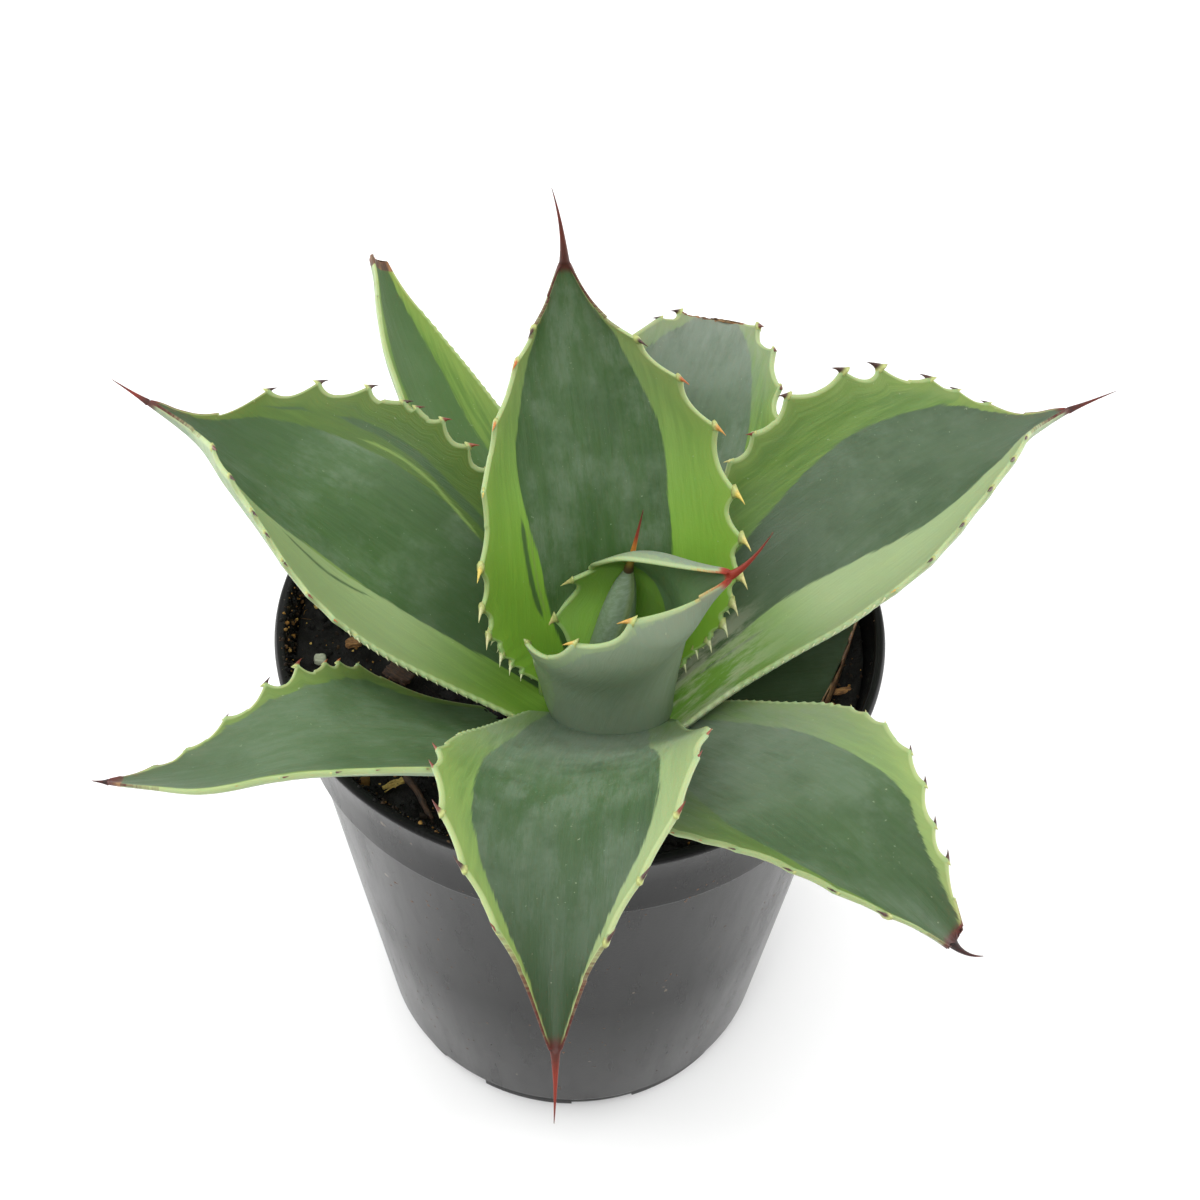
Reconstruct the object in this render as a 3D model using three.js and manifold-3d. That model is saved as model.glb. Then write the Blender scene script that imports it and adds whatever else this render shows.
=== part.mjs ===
// Potted agave: a nursery pot, its potting soil, and a short-stemmed rosette of toothed leaves.
// Millimetres, +Z up. The origin is the middle of the pot's underside; the front is towards -Y.

import * as THREE from "three";
import { mergeVertices } from "three/addons/utils/BufferGeometryUtils.js";
import Module from "manifold-3d";

const wasm = await Module();
wasm.setup();

// ---------------------------------------------------------------- driving dimensions

const FIT = 0.3; // clearance between touching pieces
const RAD = Math.PI / 180;

const POT = {
  height: 165,
  rimRadius: 82.5, // outside of the rolled lip
  lip: 2.2,
  collarDrop: 27, // depth of the wider collar below the rim
  collarFoot: 78, // outside radius of the collar's lower edge
  collarStep: 1.5,
  wall: 2,
  footRadius: 60,
  footHeight: 4.5,
  footWidth: 7,
  floor: 2.2,
  centrePad: 12,
  lipRound: 0.8,
  lipDepth: 2.4, // height of the rolled lip's outer face
  lipRoot: 3.2, // where the lip leaves the collar, below the top
  collarEdge: 0.6, // half the height over which the wall steps out to the collar
  corner: { inset: 1.5, out: 0.9, rise: 2.5 }, // rounding between wall and underside
  inner: { inset: 2.5, rise: 3 }, // rounding between wall and floor, inside
  footInset: 1,
  bond: 0.4, // how far the feet and the centre pad run into the floor
  sides: 48,
};

const DRAIN = {
  quarterTurn: -34, // direction of the first of four deep foot gaps, degrees
  deepSpan: 16,
  shallowSpan: 19,
  shallowDepth: 1.2,
  holeRadius: 4.5,
  holeAt: 46,
  drill: 12, // length of the cut that makes a hole
  lap: 0.5, // how far a shallow notch's arc runs into its neighbours, degrees
};

const SOIL = {
  level: 151, // in the middle
  edgeRise: 6, // it lies like a shallow dish and clings higher along the pot's wall
  swell: 1, // height of its lumps
  wave: [0.13, 0.11, 0.29, 0.23], // pitch of the lumps, per millimetre
  gap: 0.6, // clearance to the pot's wall, whose facets cut inside its true circle
  corner: 3.2,
  cornerInset: 3,
  rings: 9,
  sides: 40,
};

// The hollow in the soil around the leaf bases: radius from the stem and height.
const CROWN_HOLLOW = [
  [0, 137],
  [14, 137],
  [21, 141],
  [25, 147],
  [28, 156],
  [29, 164],
  [0, 164],
];

const CROWN = { x: 10, y: -20 }; // the stem stands a little in front of the pot's middle
const STEM = [
  [0, 96],
  [5, 97],
  [9, 112],
  [11, 130],
  [12, 146],
  [10, 155],
  [6, 160],
  [0, 161],
];
const ROOTS = {
  count: 6,
  firstTurn: 0.4, // radians
  start: 4,
  spread: 32, // how far a root reaches out
  length: 38,
  sag: 54,
  thick: 3.2,
  tip: 1,
  level: 118,
};

// Every leaf: heading and sideways bend, rise along the midrib (five stations), roll and
// channel half-angle (three stations) in degrees; blade length, left and right half-widths
// (base to tip, at STATIONS), seat on the stem, thickness and terminal spine in millimetres.
const STATIONS = [0, 0.12, 0.25, 0.4, 0.55, 0.7, 0.82, 0.92, 1];
const LEAVES = [
  {
    name: "leaf_bud",
    rolled: true, foot: [6.5, -17, 161], length: 38, spine: 21, heading: 10, lean: 5.4,
    rings: [[0, 6], [0.3, 5.3], [0.6, 4.5], [0.85, 3.1], [1, 1.5]],
  },
  {
    name: "leaf_inner_folded",
    heading: -32, bend: 14, rise: [93, 83, 80, 78, 31], length: 71,
    left: [29, 38.5, 44, 41, 36, 30, 22, 9], right: [29, 36, 39, 42, 43.5, 38.5, 27, 14],
    cup: [150, 125, 122], roll: [16, 12, 55], seat: [13, 149.5], body: 3.4, edge: 1.4,
    spine: 17, spineRise: 45, spineTurn: 6, spineRadius: 1.6, teeth: 1.6,
  },
  {
    name: "leaf_back",
    heading: 105, bend: 5, rise: [76, 63, 54, 55, 84], length: 109,
    left: [25.5, 33, 37.5, 39, 38, 32, 22, 10.5], right: [25.5, 32.5, 36.5, 36.5, 35.5, 33, 24.5, 10],
    cup: [44, 62, 142], roll: [-9, 3, -15], seat: [9, 158], body: 5, edge: 1.3,
    spine: 18, spineRise: 75, spineTurn: 0, spineRadius: 1.5, teeth: 1.4,
  },
  {
    name: "leaf_front",
    heading: -99, bend: 13, rise: [35, 43, 34, -6, -41], length: 140,
    left: [18.5, 22, 26.5, 30.5, 31, 30, 19.5, 9.5], right: [19, 23, 26.5, 30.5, 31.5, 29, 21, 9],
    cup: [17, 33, 136], roll: [3, 10, 1], seat: [11.5, 157], body: 5.5, edge: 1.3,
    spine: 15, spineRise: -43, spineTurn: -5, spineRadius: 1.5, teeth: 1.4,
  },
  {
    name: "leaf_right",
    heading: 28, bend: -5, rise: [36, 32, 27, 16, 11], length: 133,
    left: [22.5, 23.5, 28, 33.5, 36.5, 31.5, 23, 11], right: [22.5, 24.5, 28.5, 34, 36, 31.5, 22.5, 11],
    cup: [45, 66, 33], roll: [5, 12, -36], seat: [12, 156], body: 6, edge: 1.4,
    spine: 15, spineRise: 10, spineTurn: 0, spineRadius: 1.5, teeth: 1.4,
  },
  {
    name: "leaf_left",
    heading: 163, bend: 2, rise: [28, 31, 31, 30, 29], length: 132,
    left: [22.5, 25, 29, 33.5, 36, 32, 22.5, 11], right: [22.5, 23, 27.5, 33.5, 37.5, 32.5, 23.5, 11],
    cup: [31, 53, 36], roll: [-4, -10, 41], seat: [12, 156], body: 6, edge: 1.4,
    spine: 11, spineRise: 24, spineTurn: -6, spineRadius: 1.4, teeth: 1.4,
  },
  {
    name: "leaf_front_right",
    heading: -56, bend: 15, rise: [41, 35, 27, 2, -29], length: 120,
    left: [19, 22.5, 25.5, 30, 30, 24.5, 15, 7], right: [19, 22, 26, 30.5, 30.5, 23, 17, 9],
    cup: [18, 18, 44], roll: [-3, -2, -13], seat: [14, 152], body: 5.5, edge: 1.4,
    spine: 7, spineRise: -12, spineTurn: 40, spineRadius: 1.3, teeth: 1.2,
  },
  {
    name: "leaf_front_left",
    heading: 219, bend: -38, rise: [21, 32, 29, -3, 0], length: 128,
    left: [19.5, 23, 26, 26.5, 21, 16, 14, 8.5], right: [19.5, 23, 25, 30.5, 26.5, 20, 13, 6],
    cup: [18, 29, 20], roll: [32, 16, 30], seat: [16, 153.5], body: 4.5, edge: 1.4,
    spine: 4, spineRise: 12, spineTurn: 0, spineRadius: 1.2, teeth: 1.2,
  },
  {
    name: "leaf_back_right",
    heading: 77, bend: -3, rise: [40, 35, 28, 14, 5], length: 117,
    left: [20.5, 22.5, 27, 32, 33, 28.5, 20.5, 10], right: [20.5, 22.5, 27, 31.5, 32.5, 28, 20, 10],
    cup: [50, 54, 51], roll: [0, -5, -5], seat: [14, 149], body: 5.5, edge: 1.4,
    reach: 0.93, reachSlope: 0, teeth: 1.4,
  },
  {
    name: "leaf_back_left",
    heading: 125, bend: -17, rise: [22, 20, 19, 20, 22], length: 148,
    left: [13, 14, 17, 20, 20.5, 17.5, 13, 6], right: [13, 14, 17, 20, 20.5, 17.5, 12.5, 6],
    cup: [50, 42, 38], roll: [-1, 26, 50], seat: [14, 149], body: 5, edge: 1.3,
    reach: 0.985, reachSlope: 0, teeth: 0.5,
  },
  {
    name: "leaf_low_right",
    heading: 3, bend: 0, rise: [13, 10, 6, 4, 4], length: 130,
    left: [20, 23, 28, 33, 33, 28, 20, 10], right: [20, 23, 28, 33, 33, 28, 20, 10],
    cup: [30, 20, 20], roll: [0, 0, 0], seat: [14, 154], body: 5, edge: 1.4,
    reach: 0.35, reachSlope: 0.11, teeth: 0.8,
  },
];

const TIP_HALF = 1.6; // half-width where the blade ends and the spine begins
const LEAST_HALF = 1.2;
const SPINE_TIP = 0.25;
const TOOTHED = [0.3, 0.93]; // the stretch of the margin that has bumps for large teeth
const BLADE_STEPS = 20;
const SPINE_STEPS = 3;
const SPINE_EDGE = 12; // angle between the upper and the under side at the spine's edges
const TOP_LINES = [1, 0.68, 0.34, 0, -0.34, -0.68, -1];
const UNDER_LINES = [-1, -0.68, -0.34, 0, 0.34, 0.68, 1];
const HOLD = 9; // how far a leaf's base is carried into the stem before it is trimmed

const LITTER_RISE = 0.25; // the middle's height above the soil, as a share of the thickness

// Litter that lies on the soil: place, length, width, thickness, turn in degrees.
const LITTER = [
  { name: "bark_chip_left", at: [-49, -14], size: [9, 5, 2], turn: -35, color: 0x4a2b22 },
  { name: "bark_chip_edge", at: [-62, -4], size: [5, 3.4, 2], turn: 20, color: 0x9a6535 },
  { name: "pale_granule", at: [-70, -12], size: [3.6, 3.6, 2.6], turn: 0, color: 0xb9c7a0 },
  { name: "seed_husk", at: [-73, 8], size: [3.4, 2.4, 2], turn: 60, color: 0xc9a64e },
  { name: "twig_front", at: [-39, -57], size: [15, 2.4, 2.2], turn: -55, color: 0x6b3f26 },
  { name: "fibre_tuft", at: [-46, -53], size: [6, 4, 2.4], turn: 30, color: 0xb08a56 },
  { name: "splinter_right", at: [71, -17], size: [9, 2.2, 1.8], turn: 15, color: 0xb98a4c },
];

// ---------------------------------------------------------------- helpers

// A smooth curve through the values given at the knots.
function smooth(knots, values, x) {
  const last = knots.length - 1;
  let i = 0;
  while (i < last - 1 && x > knots[i + 1]) i += 1;
  const slope = (k) => {
    const a = Math.max(k - 1, 0);
    const b = Math.min(k + 1, last);
    return (values[b] - values[a]) / (knots[b] - knots[a]);
  };
  const h = knots[i + 1] - knots[i];
  const s = (x - knots[i]) / h;
  const start = (2 * s - 3) * s * s + 1;
  const end = 1 - start;
  const leave = ((s - 2) * s + 1) * s * h;
  const arrive = (s - 1) * s * s * h;
  return start * values[i] + end * values[i + 1] + leave * slope(i) + arrive * slope(i + 1);
}

function spread(values, t) {
  const knots = values.map((_, i) => i / (values.length - 1));
  return smooth(knots, values, t);
}

function geometryFrom(positions, index) {
  const geometry = new THREE.BufferGeometry();
  geometry.setAttribute("position", new THREE.Float32BufferAttribute(positions, 3));
  geometry.setIndex(index);
  return geometry;
}

// A closed skin over rings of equal, even point counts. Each end is closed by a strip from
// one half of its ring to the other, which stays inside a cupped cross-section.
function skin(rings) {
  const count = rings[0].length;
  const positions = rings.flat().flatMap((p) => [p.x, p.y, p.z]);
  const index = [];
  for (let r = 0; r < rings.length - 1; r += 1) {
    for (let i = 0; i < count; i += 1) {
      const a = r * count + i;
      const b = r * count + ((i + 1) % count);
      index.push(a, b, a + count, b, b + count, a + count);
    }
  }
  const last = (rings.length - 1) * count;
  for (let i = 0; i < count / 2 - 1; i += 1) {
    const facing = count - 1 - i;
    index.push(i, facing - 1, i + 1, i, facing, facing - 1);
    index.push(last + i, last + i + 1, last + facing - 1, last + i, last + facing - 1, last + facing);
  }
  return geometryFrom(positions, index);
}

function toSolid(geometry) {
  const bare = geometry.clone();
  bare.deleteAttribute("normal");
  bare.deleteAttribute("uv");
  const merged = mergeVertices(bare, 1e-4);
  const solid = new wasm.Manifold(
    new wasm.Mesh({
      numProp: 3,
      vertProperties: new Float32Array(merged.attributes.position.array),
      triVerts: new Uint32Array(merged.index.array),
    })
  );
  return solid;
}

function toGeometry(solid) {
  const mesh = solid.getMesh();
  return geometryFrom(Array.from(mesh.vertProperties), Array.from(mesh.triVerts));
}

function largest(solid) {
  const pieces = solid.decompose();
  return pieces.reduce((best, piece) => (piece.volume() > best.volume() ? piece : best));
}

function place(solid, x, y, z, turn = 0) {
  return solid.rotate([0, 0, turn]).translate([x, y, z]);
}

function finish(name, solid, color, roughness) {
  const geometry = toGeometry(solid);
  geometry.computeVertexNormals();
  const material = new THREE.MeshStandardMaterial({ color, roughness, metalness: 0 });
  const mesh = new THREE.Mesh(geometry, material);
  mesh.name = name;
  return mesh;
}

function lathe(profile, sides) {
  const points = profile.map(([r, z]) => new THREE.Vector2(r, z));
  const geometry = new THREE.LatheGeometry(points, sides);
  geometry.rotateX(Math.PI / 2);
  return toSolid(geometry);
}

// ---------------------------------------------------------------- pot

// Inside radius of the pot's wall at a height.
function potInside(z) {
  const collarFootZ = POT.height - POT.collarDrop;
  const wallTop = POT.collarFoot - POT.collarStep;
  if (z >= collarFootZ) {
    const share = (z - collarFootZ) / POT.collarDrop;
    return wallTop - POT.wall + share * (POT.rimRadius - POT.lip / 2 - wallTop);
  }
  return POT.footRadius - POT.wall + (z / collarFootZ) * (wallTop - POT.footRadius);
}

function potProfile() {
  const collarFootZ = POT.height - POT.collarDrop;
  const wallTop = POT.collarFoot - POT.collarStep;
  const floorTop = POT.footHeight + POT.floor;
  const lipTop = POT.height;
  const collarTop = POT.rimRadius - POT.lip / 2;
  return [
    [0, POT.footHeight],
    [POT.footRadius - POT.footWidth, POT.footHeight],
    [POT.footRadius - POT.corner.inset, POT.footHeight],
    [POT.footRadius + POT.corner.out, POT.footHeight + POT.corner.rise],
    [wallTop, collarFootZ - POT.collarEdge],
    [POT.collarFoot, collarFootZ + POT.collarEdge],
    [collarTop, lipTop - POT.lipRoot],
    [POT.rimRadius, lipTop - POT.lipDepth],
    [POT.rimRadius, lipTop - POT.lipRound],
    [POT.rimRadius - POT.lipRound, lipTop],
    [potInside(lipTop) + POT.lipRound / 2, lipTop],
    [potInside(lipTop), lipTop - POT.lipRound],
    [potInside(collarFootZ), collarFootZ],
    [potInside(floorTop + POT.inner.rise), floorTop + POT.inner.rise],
    [potInside(floorTop) - POT.inner.inset, floorTop],
    [0, floorTop],
  ];
}

// One foot: a stretch of ring under the floor, from one angle to another.
function footArc(from, to, drop) {
  const outer = POT.footRadius - POT.footInset;
  const inner = outer - POT.footWidth;
  const shape = new THREE.Shape();
  shape.absarc(0, 0, outer, from * RAD, to * RAD, false);
  shape.absarc(0, 0, inner, to * RAD, from * RAD, true);
  shape.closePath();
  const depth = POT.footHeight + POT.bond - drop;
  const geometry = new THREE.ExtrudeGeometry(shape, { depth, bevelEnabled: false, curveSegments: 5 });
  return toSolid(geometry).translate([0, 0, drop]);
}

function centrePad() {
  const height = POT.footHeight + POT.bond;
  const geometry = new THREE.CylinderGeometry(POT.centrePad, POT.centrePad, height, 24);
  geometry.rotateX(Math.PI / 2);
  geometry.translate(0, 0, height / 2);
  return toSolid(geometry);
}

function drainHole(direction) {
  const geometry = new THREE.CylinderGeometry(DRAIN.holeRadius, DRAIN.holeRadius, DRAIN.drill, 12);
  geometry.rotateX(Math.PI / 2);
  const reach = DRAIN.holeAt;
  geometry.translate(reach * Math.cos(direction), reach * Math.sin(direction), DRAIN.drill / 2);
  return toSolid(geometry);
}

function makePot() {
  let pot = lathe(potProfile(), POT.sides);
  for (let quarter = 0; quarter < 4; quarter += 1) {
    const gap = DRAIN.quarterTurn + quarter * 90;
    const notch = gap + 45;
    const firstEnd = notch - DRAIN.shallowSpan / 2;
    const secondStart = notch + DRAIN.shallowSpan / 2;
    pot = pot.add(footArc(gap + DRAIN.deepSpan / 2, firstEnd, 0));
    pot = pot.add(footArc(firstEnd - DRAIN.lap, secondStart + DRAIN.lap, DRAIN.shallowDepth));
    pot = pot.add(footArc(secondStart, gap + 90 - DRAIN.deepSpan / 2, 0));
    pot = pot.subtract(drainHole(gap * RAD));
  }
  return pot.add(centrePad());
}

// ---------------------------------------------------------------- leaves

// Where a leaf's midrib runs, and how its cross-section stands, at a share t of its length.
function midribOf(leaf) {
  const fine = 120;
  const direction = (t) => {
    const rise = spread(leaf.rise, t) * RAD;
    const heading = (leaf.heading + leaf.bend * t * t) * RAD;
    const run = Math.cos(rise);
    return new THREE.Vector3(Math.cos(heading) * run, Math.sin(heading) * run, Math.sin(rise));
  };
  const turn = leaf.heading * RAD;
  const [radius, height] = leaf.seat;
  const start = new THREE.Vector3(
    CROWN.x + radius * Math.cos(turn), CROWN.y + radius * Math.sin(turn), height
  );
  const path = [start];
  for (let i = 0; i < fine; i += 1) {
    const step = direction((i + 0.5) / fine).multiplyScalar(leaf.length / fine);
    path.push(path[i].clone().add(step));
  }
  const centre = (t) => {
    const at = Math.min(Math.max(t, 0), 1) * fine;
    const i = Math.min(Math.floor(at), fine - 1);
    return path[i].clone().lerp(path[i + 1], at - i);
  };
  return { centre, direction };
}

function sectionAt(leaf, midrib, t) {
  const along = midrib.direction(t);
  const heading = (leaf.heading + leaf.bend * t * t) * RAD;
  const roll = spread(leaf.roll, t) * RAD;
  const flat = new THREE.Vector3(-Math.sin(heading), Math.cos(heading), 0);
  const lift = along.clone().cross(flat);
  const side = flat.clone().multiplyScalar(Math.cos(roll)).addScaledVector(lift, Math.sin(roll));
  const up = lift.multiplyScalar(Math.cos(roll)).addScaledVector(flat, -Math.sin(roll));
  return { centre: midrib.centre(t), along, side, up };
}

// A point of the blade: u runs from -1 (right margin) to 1 (left margin), depth is measured
// from the upper face down through the blade, and grow carries a margin outwards.
function bladePoint(leaf, section, t, u, depth, grow) {
  const widths = (u > 0 ? leaf.left : leaf.right).concat([TIP_HALF]);
  const half = Math.max(smooth(STATIONS, widths, t), LEAST_HALF);
  const fold = Math.max(spread(leaf.cup, t), 1) * RAD;
  const angle = fold * u;
  const radius = half / fold;
  const across = (radius + depth) * Math.sin(angle) + Math.sign(u) * grow * Math.cos(angle);
  const lift = radius - (radius + depth) * Math.cos(angle) + Math.sign(u) * grow * Math.sin(angle);
  return section.centre.clone().addScaledVector(section.side, across).addScaledVector(section.up, lift);
}

function thicknessAt(leaf, t, u) {
  const middle = spread([leaf.body * 1.25, leaf.body, leaf.body * 0.75, leaf.body * 0.6, 3], t);
  return leaf.edge + (middle - leaf.edge) * (1 - Math.abs(u) ** 2.2);
}

function bladeRing(leaf, midrib, share, swell, bump) {
  const reach = (u) => (leaf.reach ? leaf.reach + leaf.reachSlope * u : 1);
  const at = (u, under) => {
    const t = share * reach(u);
    const section = sectionAt(leaf, midrib, t);
    const depth = under ? thicknessAt(leaf, t, u) + swell : -swell;
    const grow = Math.abs(u) === 1 ? bump + swell : 0;
    return bladePoint(leaf, section, t, u, depth, grow);
  };
  return [...TOP_LINES.map((u) => at(u, false)), ...UNDER_LINES.map((u) => at(u, true))];
}

// The hard terminal spine goes on from the blade's end as a bent cone.
function spineRings(leaf, midrib, swell) {
  const rings = [];
  const end = sectionAt(leaf, midrib, 1);
  const heading = (leaf.heading + leaf.bend + leaf.spineTurn) * RAD;
  const rise = leaf.spineRise * RAD;
  const aim = new THREE.Vector3(
    Math.cos(heading) * Math.cos(rise), Math.sin(heading) * Math.cos(rise), Math.sin(rise)
  );
  const centre = end.centre.clone();
  const step = leaf.spine / SPINE_STEPS;
  for (let i = 1; i <= SPINE_STEPS; i += 1) {
    const share = i / SPINE_STEPS;
    const along = end.along.clone().lerp(aim, share).normalize();
    centre.addScaledVector(along, step);
    const radius = THREE.MathUtils.lerp(leaf.spineRadius, SPINE_TIP, share) + swell;
    const side = end.side.clone().addScaledVector(along, -end.side.dot(along)).normalize();
    const up = along.clone().cross(side);
    const point = (angle) =>
      centre
        .clone()
        .addScaledVector(side, radius * Math.cos(angle * RAD))
        .addScaledVector(up, radius * Math.sin(angle * RAD));
    const over = TOP_LINES.map((_, k) => point((180 * k) / (TOP_LINES.length - 1)));
    const span = 180 - 2 * SPINE_EDGE;
    const under = UNDER_LINES.map((_, k) => point(SPINE_EDGE - 180 + (span * k) / (UNDER_LINES.length - 1)));
    rings.push([...over, ...under]);
  }
  return rings;
}

function leafSolid(leaf, swell) {
  const midrib = midribOf(leaf);
  const rings = [];
  const heel = bladeRing(leaf, midrib, 0, swell, 0);
  const back = midrib.direction(0).multiplyScalar(swell > 0 ? -2 * HOLD : -HOLD);
  rings.push(heel.map((p) => p.clone().add(back)));
  for (let i = 0; i <= BLADE_STEPS; i += 1) {
    const share = i / BLADE_STEPS;
    const toothed = i % 2 === 1 && share > TOOTHED[0] && share < TOOTHED[1];
    rings.push(bladeRing(leaf, midrib, share, swell, toothed ? leaf.teeth : 0));
  }
  if (leaf.spine) rings.push(...spineRings(leaf, midrib, swell));
  return toSolid(skin(rings));
}

// The unopened leaf in the heart of the rosette: a rolled cone with its spine.
function budSolid(leaf, swell) {
  const sides = 12;
  const lean = new THREE.Vector3(Math.cos(leaf.heading * RAD), Math.sin(leaf.heading * RAD), 0);
  const foot = new THREE.Vector3(leaf.foot[0], leaf.foot[1], leaf.foot[2] + FIT);
  const centreAt = (height) => {
    const centre = foot.clone().addScaledVector(lean, (leaf.lean * height) / leaf.length);
    centre.z += height;
    return centre;
  };
  const rings = leaf.rings.map(([share, radius]) =>
    circleRing(centreAt(share * leaf.length), radius + swell, sides)
  );
  rings[0].forEach((p) => (p.z -= swell));
  rings.push(circleRing(centreAt(leaf.length + leaf.spine), SPINE_TIP + swell, sides));
  return toSolid(skin(rings));
}

function circleRing(centre, radius, sides) {
  return Array.from({ length: sides }, (_, i) => {
    const angle = (2 * Math.PI * i) / sides;
    return new THREE.Vector3(
      centre.x + radius * Math.cos(angle), centre.y + radius * Math.sin(angle), centre.z
    );
  });
}

// ---------------------------------------------------------------- stem, soil, litter

function rootSolid(turn, swell) {
  const rings = [];
  const steps = 5;
  for (let i = 0; i <= steps; i += 1) {
    const share = (i / steps) * (1 + swell / ROOTS.length);
    const out = ROOTS.start + ROOTS.spread * share;
    const centre = new THREE.Vector3(
      out * Math.cos(turn), out * Math.sin(turn), ROOTS.level - ROOTS.sag * share * share
    );
    const radius = THREE.MathUtils.lerp(ROOTS.thick, ROOTS.tip, share) + swell;
    const across = new THREE.Vector3(-Math.sin(turn), Math.cos(turn), 0);
    rings.push(
      Array.from({ length: 6 }, (_, k) => {
        const angle = (k * Math.PI) / 3;
        return centre
          .clone()
          .addScaledVector(across, radius * Math.cos(angle))
          .add(new THREE.Vector3(0, 0, radius * Math.sin(angle)));
      })
    );
  }
  return toSolid(skin(rings));
}

function stemSolid(swell) {
  const profile = STEM.map(([r, z]) => [r === 0 ? 0 : r + swell, z]);
  profile[0][1] -= swell;
  profile.at(-1)[1] += swell;
  let stem = lathe(profile, 20);
  for (let i = 0; i < ROOTS.count; i += 1) {
    stem = stem.add(rootSolid((i / ROOTS.count) * 2 * Math.PI + ROOTS.firstTurn, swell));
  }
  return stem.translate([CROWN.x, CROWN.y, 0]);
}

function soilHeight(x, y) {
  const edge = Math.min(Math.hypot(x, y) / potInside(SOIL.level), 1);
  const [a, b, c, d] = SOIL.wave;
  const lumps = Math.sin(x * a + 1) * Math.cos(y * b) + 0.6 * Math.sin(x * c - y * d);
  return SOIL.level + SOIL.edgeRise * edge ** 3 + SOIL.swell * lumps * (1 - edge ** 6);
}

function soilSolid() {
  const floorTop = POT.footHeight + POT.floor + FIT;
  const rings = [];
  const ringAt = (radius, height) =>
    Array.from({ length: SOIL.sides }, (_, i) => {
      const angle = (2 * Math.PI * i) / SOIL.sides;
      const x = radius * Math.cos(angle);
      const y = radius * Math.sin(angle);
      return new THREE.Vector3(x, y, height === null ? soilHeight(x, y) : height);
    });
  const snug = (z) => potInside(z) - SOIL.gap;
  const cornerTop = floorTop + SOIL.corner;
  rings.push(ringAt(snug(cornerTop) - SOIL.cornerInset, floorTop));
  rings.push(ringAt(snug(cornerTop), cornerTop));
  rings.push(ringAt(snug(POT.height - POT.collarDrop), POT.height - POT.collarDrop));
  for (let i = SOIL.rings; i >= 1; i -= 1) {
    rings.push(ringAt((snug(SOIL.level) * i) / SOIL.rings, null));
  }
  return toSolid(skin(rings));
}

function litterSolid(bit, swell) {
  const [length, width, thick] = bit.size;
  const geometry = new THREE.IcosahedronGeometry(1, 1);
  geometry.scale(length / 2 + swell, width / 2 + swell, thick / 2 + swell);
  const [x, y] = bit.at;
  return place(toSolid(geometry), x, y, soilHeight(x, y) + thick * LITTER_RISE, bit.turn);
}

// ---------------------------------------------------------------- the plant in its pot

const agave = new THREE.Group();
agave.name = "potted_agave";

const makeLeaf = (leaf, swell) => (leaf.rolled ? budSolid(leaf, swell) : leafSolid(leaf, swell));
const stem = stemSolid(0);
const stemRoom = stemSolid(FIT);
const leafSolids = [];
const taken = [stemRoom];
for (const leaf of LEAVES) {
  let solid = makeLeaf(leaf, 0);
  for (const inner of taken) solid = solid.subtract(inner);
  leafSolids.push(largest(solid));
  taken.push(makeLeaf(leaf, FIT));
}

let soil = soilSolid().subtract(stemRoom);
soil = soil.subtract(lathe(CROWN_HOLLOW, 24).translate([CROWN.x, CROWN.y, 0]));
for (const leaf of LEAVES.filter((each) => !each.rolled)) soil = soil.subtract(leafSolid(leaf, FIT));
for (const bit of LITTER) soil = soil.subtract(litterSolid(bit, FIT));

agave.add(finish("nursery_pot", makePot(), 0x3f3f3e, 0.5));
agave.add(finish("potting_soil", largest(soil), 0x2a1f19, 0.95));
agave.add(finish("stem_and_roots", stem, 0xb9b48a, 0.8));
LEAVES.forEach((leaf, i) => agave.add(finish(leaf.name, leafSolids[i], 0x6f9462, 0.55)));
LITTER.forEach((bit) => agave.add(finish(bit.name, litterSolid(bit, 0), bit.color, 0.85)));

export default agave;
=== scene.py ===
import math
import random

import bmesh
import bpy
import numpy as np
from mathutils import Matrix, Vector, noise


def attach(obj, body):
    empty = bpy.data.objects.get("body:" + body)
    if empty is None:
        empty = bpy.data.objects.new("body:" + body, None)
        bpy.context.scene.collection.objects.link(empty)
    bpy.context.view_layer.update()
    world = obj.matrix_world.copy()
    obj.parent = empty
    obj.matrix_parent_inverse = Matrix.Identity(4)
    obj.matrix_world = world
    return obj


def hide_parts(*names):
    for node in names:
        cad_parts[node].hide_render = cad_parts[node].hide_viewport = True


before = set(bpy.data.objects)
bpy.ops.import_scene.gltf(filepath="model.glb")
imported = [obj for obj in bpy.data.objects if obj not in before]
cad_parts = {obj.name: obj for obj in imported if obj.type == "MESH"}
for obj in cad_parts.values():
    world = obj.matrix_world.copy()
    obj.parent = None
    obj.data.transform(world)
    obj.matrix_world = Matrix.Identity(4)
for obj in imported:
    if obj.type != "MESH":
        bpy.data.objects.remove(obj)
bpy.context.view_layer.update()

# Potted agave. Sizes are in millimetres and degrees, as on the plant, and every mesh is
# written in metres. The front is towards -Y. Pixel coordinates are those of the 1200 x 1200
# photograph, and are only used through the camera below, to find a place on a leaf's margin.

MM = 0.001
PICTURE = 1200
CAMERA = {"distance": 484, "elevation": 47, "roll": 2.0, "lens": 54, "sensor": 36}
LOOK_AT = Vector((5, 0, 171))

# ---- the plant's measures

CROWN = (10, -20)
STATIONS = [0, 0.12, 0.25, 0.4, 0.55, 0.7, 0.82, 0.92, 1]
LIME_STATIONS = [0, 0.15, 0.3, 0.45, 0.6, 0.75, 0.9, 1]
# Painted shade: how much darker the middle gets towards the tip, where a leaf gives none of its own.
PAINTED_SHADE = [0, 0, 0.05, 0.15, 0.28, 0.42, 0.55, 0.55]  # how much darker the middle gets to the tip
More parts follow.
